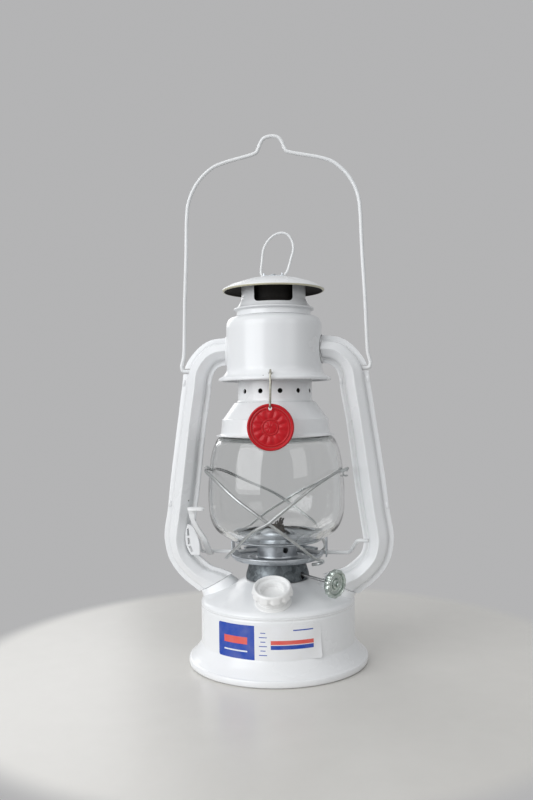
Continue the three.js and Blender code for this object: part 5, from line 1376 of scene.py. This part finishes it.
print("sooted faces:", soot_inside(bell_piece, lambda c, n, inward: inward and c.z > 165.5))

# %% Flue and its spring
flue = eased(
    [(20.15, 182.9), (20.9, 182.9), (20.9, 185.7), (23.9, 185.8), (24.0, 186.5), (21.1, 186.6),
     (20.9, 187.0), (20.9, 224.6), (20.15, 224.7)], 0.3)
flue_piece = piece("flue_tube", spin(flue, 96), plain_steel, "chimney", "chimney_tube", slot="plain_steel")
print("sooted faces:", soot_inside(flue_piece, lambda c, n, inward: inward))

SPRING_FOOT, SPRING_TOP, SPRING_TURNS, SPRING_RADIUS = 187.5, 218.7, 5, 25.2
coil, coil_steps = [], SPRING_TURNS * 16
for i in range(coil_steps + 1):
    share = i / coil_steps
    rise = SPRING_FOOT + (SPRING_TOP - SPRING_FOOT) * share
    coil.append(around(SPRING_RADIUS, 360 * SPRING_TURNS * share, rise))
spring_mesh = wire_mesh(coil, 1.2, steps=2, sides=8)
spring = piece("chimney_spring", spring_mesh, plain_steel, "stand", "hood_spring", slot="plain_steel")
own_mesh(spring)
print("spring turns:", SPRING_TURNS)

# %% [markdown]
# ## Hood
# The hood is the widest white surface, so it needs the softest outline: a rolled lip, a
# flare that eases into the drum, and a rounded shoulder. Pressed sheet is never quite
# round either. A slow change of radius, a tenth of a millimetre or so, bends the
# reflections a little, which reads as metal and not as plastic.

# %% Hood drum with its hook hole
def soft_dents(turn, radius, height):
    """Slow change of radius, which starts above the flare."""
    wave = noise.noise(Vector((2.2 * math.sin(turn), 2.2 * math.cos(turn), height * 0.045)))
    return radius + 0.16 * wave * min(1.0, max(0.0, (height - 184) / 6)), height


hood = eased(
    [(34.6, 179.15), (35.5, 179.05), (36.2, 179.3), (36.4, 180.0), (36.3, 180.7), (35.7, 181.35),
     (34.2, 182.1), (32.8, 183.1), (31.7, 184.5), (31.1, 186.0), (30.9, 187.6), (30.9, 213.6),
     (30.6, 216.2), (29.7, 218.4), (28.4, 219.7), (26.9, 220.3), (21.5, 220.4), (21.3, 219.65),
     (26.8, 219.55), (28.0, 218.9), (29.1, 217.7), (29.8, 215.9), (30.1, 213.4), (30.1, 187.4),
     (30.3, 185.6), (31.0, 184.0), (32.2, 182.4), (33.7, 181.2), (34.6, 180.4)],
    0.5)
HOOK_AZIMUTH, DRUM_WALL = 3.7, 30.6
hook_hole = rod(1.5, around(33, HOOK_AZIMUTH, 180), around(33, HOOK_AZIMUTH, 187.5), sides=20)
drum = carved(spin(hood, 192, vary=soft_dents), hook_hole)
piece("hood_drum", drum, white_enamel, "stand", "hood", slot="white_enamel", sharp=50)


def mouth_sleeve(side, size=1.0):
    """Short turned-out edge of the hood where a side tube goes in."""
    rings = []
    for out, grow in ((30.6, 0.55), (31.0, 0.75), (31.5, 0.6), (31.8, 0.15), (31.6, -0.3), (30.9, -0.4)):
        out = DRUM_WALL + (out - DRUM_WALL) * size
        grow *= size
        ring = []
        for k in range(44):
            t = 2 * math.pi * k / 44
            y = (7.55 + grow) * squarish(math.sin(t), 0.8)
            z = 199.1 + (8.95 + grow) * squarish(math.cos(t), 0.8)
            ring.append(Vector((side * math.sqrt(max(out * out - y * y, 0)), y, z)))
        rings.append(ring)
    return loft(rings, endless=True)


piece("left_hood_sleeve", mouth_sleeve(-1), white_enamel, "stand", slot="white_enamel", sharp=60)
# On the right, a small dark ring sits in the mouth as painted shade: the shadow in the gap between hood and
# tube.
piece("right_mouth_shade_ring", mouth_sleeve(1, 0.45), dark_rubber, "stand", slot="plain_steel", sharp=60)
print("hood height", round(max(z for _, z in hood) - min(z for _, z in hood), 1), "mm")

# %% [markdown]
# ## Cage and canopy
# The smoke leaves between three wide posts under a low domed cap. Inside, everything is
# black with soot. The cage is one turned sheet with three windows cut out of it, and the
# faces that look inwards get the soot finish, which a second material slot allows on the
# same mesh.

# %% Cage with three windows
cage = eased(
    [(21.3, 220.75), (23.9, 220.8), (24.0, 221.2), (24.0, 224.0), (24.5, 224.5), (25.8, 224.75),
     (26.1, 225.4), (25.7, 226.0), (24.4, 226.3), (23.2, 227.6), (22.0, 229.4), (21.1, 231.2),
     (20.8, 233.0), (20.8, 242.1), (20.1, 242.1), (20.1, 232.6), (20.5, 230.4), (21.6, 228.1),
     (22.6, 226.6), (23.3, 225.7), (23.3, 221.6), (21.3, 221.5)],
    0.35)


def window(azimuth):
    """Block with the window's outline: square above, with rounded lower corners."""
    half, sill, top, corner = math.sin(math.radians(35.5)) * 20.8, 228.6, 240.0, 2.6
    outline = [(half, top), (half, sill + corner)]
    for turn in (math.radians(degrees) for degrees in (22, 45, 68)):
        outline.append((half - corner * (1 - math.cos(turn)), sill + corner * (1 - math.sin(turn))))
    outline += [(half - corner, sill)]
    outline += [(-x, z) for x, z in reversed(outline)]
    return moved(prism(outline, (-8, -34), "Y"), Matrix.Rotation(math.radians(azimuth), 4, "Z"))


def inside_cage(centre, normal, inward):
    return inward or (math.hypot(centre.x, centre.y) < 20.6 and centre.z > 226)


cage_mesh = carved(spin(cage, 168), *[window(7.5 + 120 * i) for i in range(3)])
cage_piece = piece(
    "smoke_cage", cage_mesh, white_enamel, "chimney", "chimney_cage", slot="white_enamel", sharp=45)
print("sooted faces:", soot_inside(cage_piece, inside_cage))

# %% Canopy, with three old dents
dents = [((-17, -14), 7, 0.9), ((15, -17), 6, 0.75), ((6, 20), 8, 0.6)]


def canopy_dents(turn, radius, height):
    place = Vector((radius * math.sin(turn), -radius * math.cos(turn)))
    drop = 0
    for centre, size, depth in dents:
        away = (place - Vector(centre)).length / size
        drop += depth * max(0.0, 1 - away * away) ** 2
    return radius, height - drop


canopy = eased(
    [(31.5, 236.95), (32.6, 236.95), (33.05, 237.5), (33.0, 238.2), (32.3, 238.7), (31.2, 239.3),
     (29.2, 240.5), (26.4, 241.8), (22.8, 243.1), (18.6, 244.3), (14.4, 245.15), (10.0, 245.75),
     (6.4, 246.1), (3.0, 246.3), (0.01, 246.35), (0.01, 245.6), (6.3, 245.35), (10.0, 245.0), (14.2, 244.4),
     (18.4, 243.5), (22.5, 242.3), (26.0, 241.0), (28.7, 239.8), (30.6, 238.5), (31.2, 237.6)],
    0.4)
ROLLED_EDGE = 31.9


def under_canopy(centre, normal, inward):
    return normal.z < -0.3 and math.hypot(centre.x, centre.y) < ROLLED_EDGE


def under_edge(centre, normal, inward):
    return centre.z < 237.9 and math.hypot(centre.x, centre.y) >= ROLLED_EDGE


canopy_mesh = spin(canopy, 168, vary=canopy_dents)
canopy_piece = piece(
    "rain_canopy", canopy_mesh, white_enamel, "chimney", "canopy", slot="white_enamel", sharp=50)
print("sooted faces:", soot_inside(canopy_piece, under_canopy))
print("tinted faces:", soot_inside(canopy_piece, under_edge, heat_tinted))

# %% Baffle of painted shade: what is seen through the windows is dark, so a black sheet inside stands in for that shade and blocks the view
shade_baffle_outline = eased(
    [(17.4, 226.4), (18.1, 226.4), (18.1, 229.2), (16.4, 231.6), (16.2, 236.0), (17.6, 241.0),
     (17.0, 241.2), (15.5, 236.2), (15.7, 231.2), (17.4, 228.8)], 0.3)
piece("painted_shade_baffle", spin(shade_baffle_outline, 96), soot_and_shade, "chimney", sharp=50)
print("shade_baffle_outline", round(2 * max(r for r, _ in shade_baffle_outline), 1), "mm across")

# %% Bracket, rivet and finger ring
def bracket_mesh():
    """Strap bent up at both ends: one outline across, run from the front edge to the back."""
    right = [
        (6.2, 246.75), (6.3, 246.9), (6.3, 248.8), (6.15, 248.9), (5.6, 248.9), (5.5, 248.8), (5.5, 247.7),
        (5.35, 247.5),
    ]
    mirrored = [(-x, z) for x, z in reversed(right)]
    return prism([mirrored[-1], *right, *mirrored[:-1]], (-2, -1.9, 1.9, 2), "Y")


piece("ring_strap", bracket_mesh(), bright_zinc, "chimney", "ring_bracket", slot="bright_zinc", sharp=40)
rivet = eased(
    [(0.01, 248.75), (0.7, 248.72), (1.4, 248.5), (1.85, 248.0), (1.9, 247.6), (0.9, 247.5), (0.85, 245.4),
     (1.5, 245.2), (1.5, 244.7), (0.01, 244.5)], 0.2)
piece("strap_rivet", spin(rivet, 40), bright_zinc, "chimney", "ring_rivet", slot="bright_zinc", sharp=45)

RING_AXIS, RING_HALF, RING_HEIGHT, RING_WIRE = 247.3, 7.8, 27.75, 1.6
ring_shares = [
    (-1, 0.06), (-0.92, 0.34), (-0.78, 0.62), (-0.4, 0.82), (0.2, 0.96), (0.79, 1), (1.29, 0.945),
    (1.62, 0.8), (1.73, 0.61), (1.51, 0.38), (1.24, 0.13), (1.06, 0.05),
]
ring_line = [(-5.1, 0), (-6.5, 0)]
ring_line += [(a * RING_HALF, b * RING_HEIGHT) for a, b in ring_shares] + [(6.76, 0), (5.1, 0)]
ring_mesh = wire_mesh([Vector((x, 0, RING_AXIS + z)) for x, z in ring_line], RING_WIRE, steps=6, sides=16)
piece("lifting_ring", ring_mesh, white_wire_coat, "pull_ring", "finger_ring", slot="white_wire", sharp=60)
print("ring stands", RING_HEIGHT, "mm above its strap")

# %% [markdown]
# ## Bail
# The bail is one length of wire bent over a former. The straight ends go through a hole in
# each tube. The curve runs through a list of points, written as shares of its half width
# and height, and the right half is the mirror of the left one. A curve object would do as
# well, but a mesh can end in the eased tip that a cut wire has.

# %% Carrying handle
bail_shares = [
    (0.999, 0.018), (0.992, 0.035), (0.976, 0.063), (0.965, 0.16), (0.955, 0.3), (0.932, 0.51),
    (0.921, 0.662), (0.903, 0.724), (0.856, 0.777), (0.77, 0.83), (0.639, 0.876), (0.502, 0.897),
    (0.34, 0.912), (0.211, 0.924), (0.162, 0.932), (0.136, 0.95), (0.116, 0.971), (0.078, 0.991),
]
BAIL_HALF, BAIL_HEIGHT, BAIL_TOP, BAIL_WIRE = 61.71, 151.9, 151.7, 2.4
bail_half = [
    (55.6, 0), (58.5, 0), (59.55, 0), (61.1, 0.65),
] + [(a * BAIL_HALF, b * BAIL_HEIGHT) for a, b in bail_shares]
bail_line = [Vector((-x, 0, BAIL_AXIS + z)) for x, z in bail_half] + [Vector((0, 0, BAIL_AXIS + BAIL_TOP))]
bail_line += [Vector((x, 0, BAIL_AXIS + z)) for x, z in reversed(bail_half)]
bail_mesh = wire_mesh(bail_line, BAIL_WIRE, steps=6, sides=20)
piece("carrying_bail", bail_mesh, white_wire_coat, "handle", "bail", slot="white_wire", sharp=60)
print("bail points:", len(bail_line))

# %% [markdown]
# ## Tag and its hook
# The red tag hangs from a hook of thin wire through a hole in the hood's lip. The tag is a
# round plate with a double rim and a plain raised rosette. It is modelled as a height map:
# rings of points round the centre, each pushed out by a small function of radius and
# angle. The back is flat.

# %% Hook
to_hook = Matrix.Rotation(math.radians(HOOK_AZIMUTH), 4, "Z")
hang, half, outside, drop = 8.9, 1.5, 4.3, 21.7
hook_line = [
    (hang + 0.3 * half, -drop), (hang - 0.9 * half, -drop + 0.3 * half), (hang - 1.6 * half, -0.92 * drop),
    (0.7 * hang, -0.83 * drop), (0.33 * hang, -0.375 * drop), (0.03 * hang, -0.225 * drop),
    (0, -0.12 * drop), (0, -0.5), (0.3 * outside, 0.9), (0.75 * outside, 0.75), (outside + 0.5, -1.5),
    (outside + 0.81, -0.3 * drop), (0.9 * hang, -0.68 * drop), (hang + 1.4 * half, -0.9 * drop),
    (hang + 1.3 * half, -drop + 0.3 * half), (hang + 0.75 * half, -drop),
]
hook_points = [Vector((0, -33 - across, 183.8 + rise)) for across, rise in hook_line]
hook_mesh = moved(wire_mesh(hook_points, 1.2, steps=5, sides=12), to_hook)
piece("tag_hanger", hook_mesh, hook_brass_tone, "tag_loop", "tag_hook", slot="plain_steel", sharp=60)
print("hook hangs", round(-min(rise for _, rise in hook_line), 1), "mm down")

# %% Tag with a plain rosette
TAG_RADIUS, TAG_HOLE, HOLE_UP, TAG_TURNS, TAG_STEPS = 14.15, 1.2, 11.3, 180, 46
TAG_MIDDLE = (0, -41.9 * MM, 150.3 * MM)


def tag_height(x, z):
    """Height of the tag's face in mm above its plate, at a place on the face."""
    radius, turn = math.hypot(x, z), math.atan2(x, z)

    def ridge(centre, half_width, high):
        share = abs(radius - centre) / half_width
        return high * math.cos(min(share, 1) * math.pi / 2) ** 0.7

    raised = max(ridge(13.3, 0.9, 0.5), ridge(11.35, 0.45, 0.32), ridge(4.6, 0.4, 0.3))
    if 5.3 < radius < 10.6:
        petal = abs(math.cos(6 * turn)) ** 1.2
        swell = math.sin((radius - 5.3) / 5.3 * math.pi) ** 0.6
        raised = max(raised, 0.42 * petal * swell)
    if radius < 4:
        button = 0.45 * math.cos(radius / 4 * math.pi / 2) ** 0.5
        raised = max(raised, button * (0.75 + 0.25 * abs(math.cos(4 * turn))))
    if math.hypot(x, z - HOLE_UP) < 2.4:
        raised = max(raised, 0.34)
    return raised


def tag_mesh():
    made = bmesh.new()
    rows = []

    def add_row(radius, depth_at):
        row = []
        for k in range(TAG_TURNS):
            t = 2 * math.pi * k / TAG_TURNS
            x, z = radius * math.sin(t), radius * math.cos(t)
            row.append(made.verts.new((x * MM, depth_at(x, z) * MM, z * MM)))
        rows.append(row)

    for i in range(1, TAG_STEPS + 1):
        radius = TAG_RADIUS * i / TAG_STEPS
        edge_fall = 0.35 * max(0.0, (radius - 13.7) / 0.45) ** 2
        add_row(radius, lambda x, z: -(0.2 + 1.65 * tag_height(x, z) - edge_fall))
    centre = made.verts.new((0, -(0.2 + 1.65 * tag_height(0, 0)) * MM, 0))
    for inset, deep in ((0, 0.3), (0, 0.8), (0.3, 1.05), (1.1, 1.05), (1.3, 0.65)):
        add_row(TAG_RADIUS - inset, lambda x, z: deep)
    for k in range(TAG_TURNS):
        made.faces.new((centre, rows[0][k], rows[0][(k + 1) % TAG_TURNS]))
    for low, high in zip(rows, rows[1:]):
        for k in range(TAG_TURNS):
            n = (k + 1) % TAG_TURNS
            made.faces.new((low[k], high[k], high[n], low[n]))
    made.faces.new(rows[-1])
    bmesh.ops.recalc_face_normals(made, faces=made.faces)
    mesh = bpy.data.meshes.new("tag")
    made.to_mesh(mesh)
    made.free()
    return mesh


tag_plate = carved(tag_mesh(), rod(TAG_HOLE, (0, -4, HOLE_UP), (0, 4, HOLE_UP), sides=28))
hung_tag = moved(tag_plate, to_hook @ Matrix.Translation(TAG_MIDDLE))
piece("red_tag", hung_tag, red_enamel, "tag", "medallion", slot="red_enamel", sharp=50)
print("tag", 2 * TAG_RADIUS, "mm across")

# %% [markdown]
# ## Paper label
# Two paper panels are glued round the tank's front, one blue and one white. They carry
# plain stripes in coral, blue and white, and the white one a level line with ticks. Each
# panel is a thin curved sheet with its own map, across and up in millimetres, so the
# printing stays even round the tank. Its map is read by a UV node, and the printed shapes
# are comparisons of distances, which stay sharp at any size.

# %% Printed shapes
AGED_PAPER = rgb(0.62, 0.57, 0.45)


def box_mask(tree, across, up, middle, half):
    """1 inside a rectangle of the map, 0 outside. middle and half are (across, up) in mm."""
    within = []
    for value, centre, reach in ((across, middle[0], half[0]), (up, middle[1], half[1])):
        away = calc(tree, "ABSOLUTE", calc(tree, "ADD", value, -centre))
        within.append(calc(tree, "LESS_THAN", away, reach))
    return calc(tree, "MULTIPLY", *within)


def paper_finish(name, ground, shapes):
    """Paper with rectangles of ink on it, rubbed through here and there by noise."""
    made, tree = start_finish(name)
    place = add_node(tree, "ShaderNodeUVMap").outputs[0]
    split = add_node(tree, "ShaderNodeSeparateXYZ", {0: place}).outputs
    rubbed = clouds(tree, place, 0.55, Detail=7, Roughness=0.7)
    kept = ranged(tree, rubbed, 0.74, 0.68)
    colour = ground
    for ink, middle, half in shapes:
        mask = box_mask(tree, split[0], split[1], middle, half)
        colour = mix_colours(tree, calc(tree, "MULTIPLY", mask, kept), colour, ink)
    aged = ranged(tree, clouds(tree, place, 0.12, Detail=4), 0.4, 0.75, 0.14)
    show(tree, add_node(tree, "ShaderNodeBsdfPrincipled", {
        "Base Color": mix_colours(tree, aged, colour, AGED_PAPER), "Roughness": 0.4,
        "Normal": relief(tree, rubbed, 0.25, 0.0002),
    }))
    return made


# %% Label panels
PAPER = TANK + 0.03


def paper_panel(start, end, foot, top, round_start, round_end, curl=0.0):
    """Thin curved sheet between two azimuths. curl lifts its last corner off the tank, in mm."""
    columns, rows, corner = 56, 12, 1.3
    made = bmesh.new()
    layers = []
    for thick in (0.12, 0.0):
        layer = []
        for i in range(columns + 1):
            azimuth = start + (end - start) * (1 - math.cos(math.pi * i / columns)) / 2
            to_start, to_end = (math.radians(abs(azimuth - edge)) * PAPER for edge in (start, end))
            near = min(to_start if round_start else corner, to_end if round_end else corner, corner)
            inset = corner - math.sqrt(max(corner ** 2 - (corner - near) ** 2, 0))
            column = []
            for k in range(rows + 1):
                z = foot + inset + (top - foot - 2 * inset) * k / rows
                peel = max(0.0, 1 - (to_end + 0.45 * (z - foot)) / 9) ** 2
                x, y, _ = around(PAPER + thick + curl * peel, azimuth)
                column.append((made.verts.new((x * MM, y * MM, z * MM)), (math.radians(azimuth) * PAPER, z)))
            layer.append(column)
        layers.append(layer)
    where = {vert: place for layer in layers for column in layer for vert, place in column}
    front, back = [[[vert for vert, _ in column] for column in layer] for layer in layers]
    for i in range(columns):
        for k in range(rows):
            made.faces.new((front[i][k], front[i + 1][k], front[i + 1][k + 1], front[i][k + 1]))
            made.faces.new((back[i][k], back[i][k + 1], back[i + 1][k + 1], back[i + 1][k]))
        for k in (0, rows):
            made.faces.new((front[i][k], front[i + 1][k], back[i + 1][k], back[i][k]))
    for i in (0, columns):
        for k in range(rows):
            made.faces.new((front[i][k], front[i][k + 1], back[i][k + 1], back[i][k]))
    bmesh.ops.recalc_face_normals(made, faces=made.faces)
    uv = made.loops.layers.uv.new("paper")
    for face in made.faces:
        for corner_loop in face.loops:
            corner_loop[uv].uv = where[corner_loop.vert]
    mesh = bpy.data.meshes.new("paper")
    made.to_mesh(mesh)
    made.free()
    return mesh


white_paper, blue_ink, coral_ink = rgb(0.83, 0.835, 0.85), rgb(0.004, 0.055, 0.4), rgb(0.75, 0.1, 0.085)
white_ink = rgb(0.72, 0.75, 0.8)
blue_panel = paper_finish("blue_paper", blue_ink, [
    (white_ink, (-20.5, 18.6), (8.2, 0.45)), (coral_ink, (-20.5, 24.8), (8.2, 2.1))])
ticks = [(blue_ink, (-2.6, 17.0 + 2.6 * i), (1.5 if i % 2 else 2.4, 0.24)) for i in range(6)]
white_panel = paper_finish("white_paper", white_paper, [
    *ticks, (blue_ink, (21.5, 31.4), (6.2, 0.35)), (blue_ink, (15, 21.6), (13.0, 1.2)),
    (coral_ink, (15, 24.4), (13.0, 1.2)),
])
LABEL_FOOT, LABEL_TOP, LABEL_START, LABEL_SEAM, LABEL_END = 13.9, 34, -38.7, -9.0, 38.3
blue_sheet = paper_panel(LABEL_START, LABEL_SEAM - 0.05, LABEL_FOOT, LABEL_TOP, True, False)
white_sheet = paper_panel(LABEL_SEAM, LABEL_END, LABEL_FOOT, LABEL_TOP, False, True, curl=1.3)
piece("label_blue_panel", blue_sheet, blue_panel, "stand", sharp=30)
piece("label_white_panel", white_sheet, white_panel, "stand", sharp=30)
print("label", round(math.radians(LABEL_END - LABEL_START) * PAPER, 1), "mm round the tank")

# %% [markdown]
# ## The two boxes and the last line
# Dressing a solid must not change the lantern's size. The box of the plain solids and the
# box of the dressed lantern are written next to each other, so that they can be compared.

# %% Boxes and finish
dressed_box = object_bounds()
for word, (low, high) in (("cad", cad_box), ("dressed", dressed_box)):
    print(word, "box in mm:", [round((b - a) / MM, 1) for a, b in zip(low, high)])
print("pieces made:", len(made_pieces))
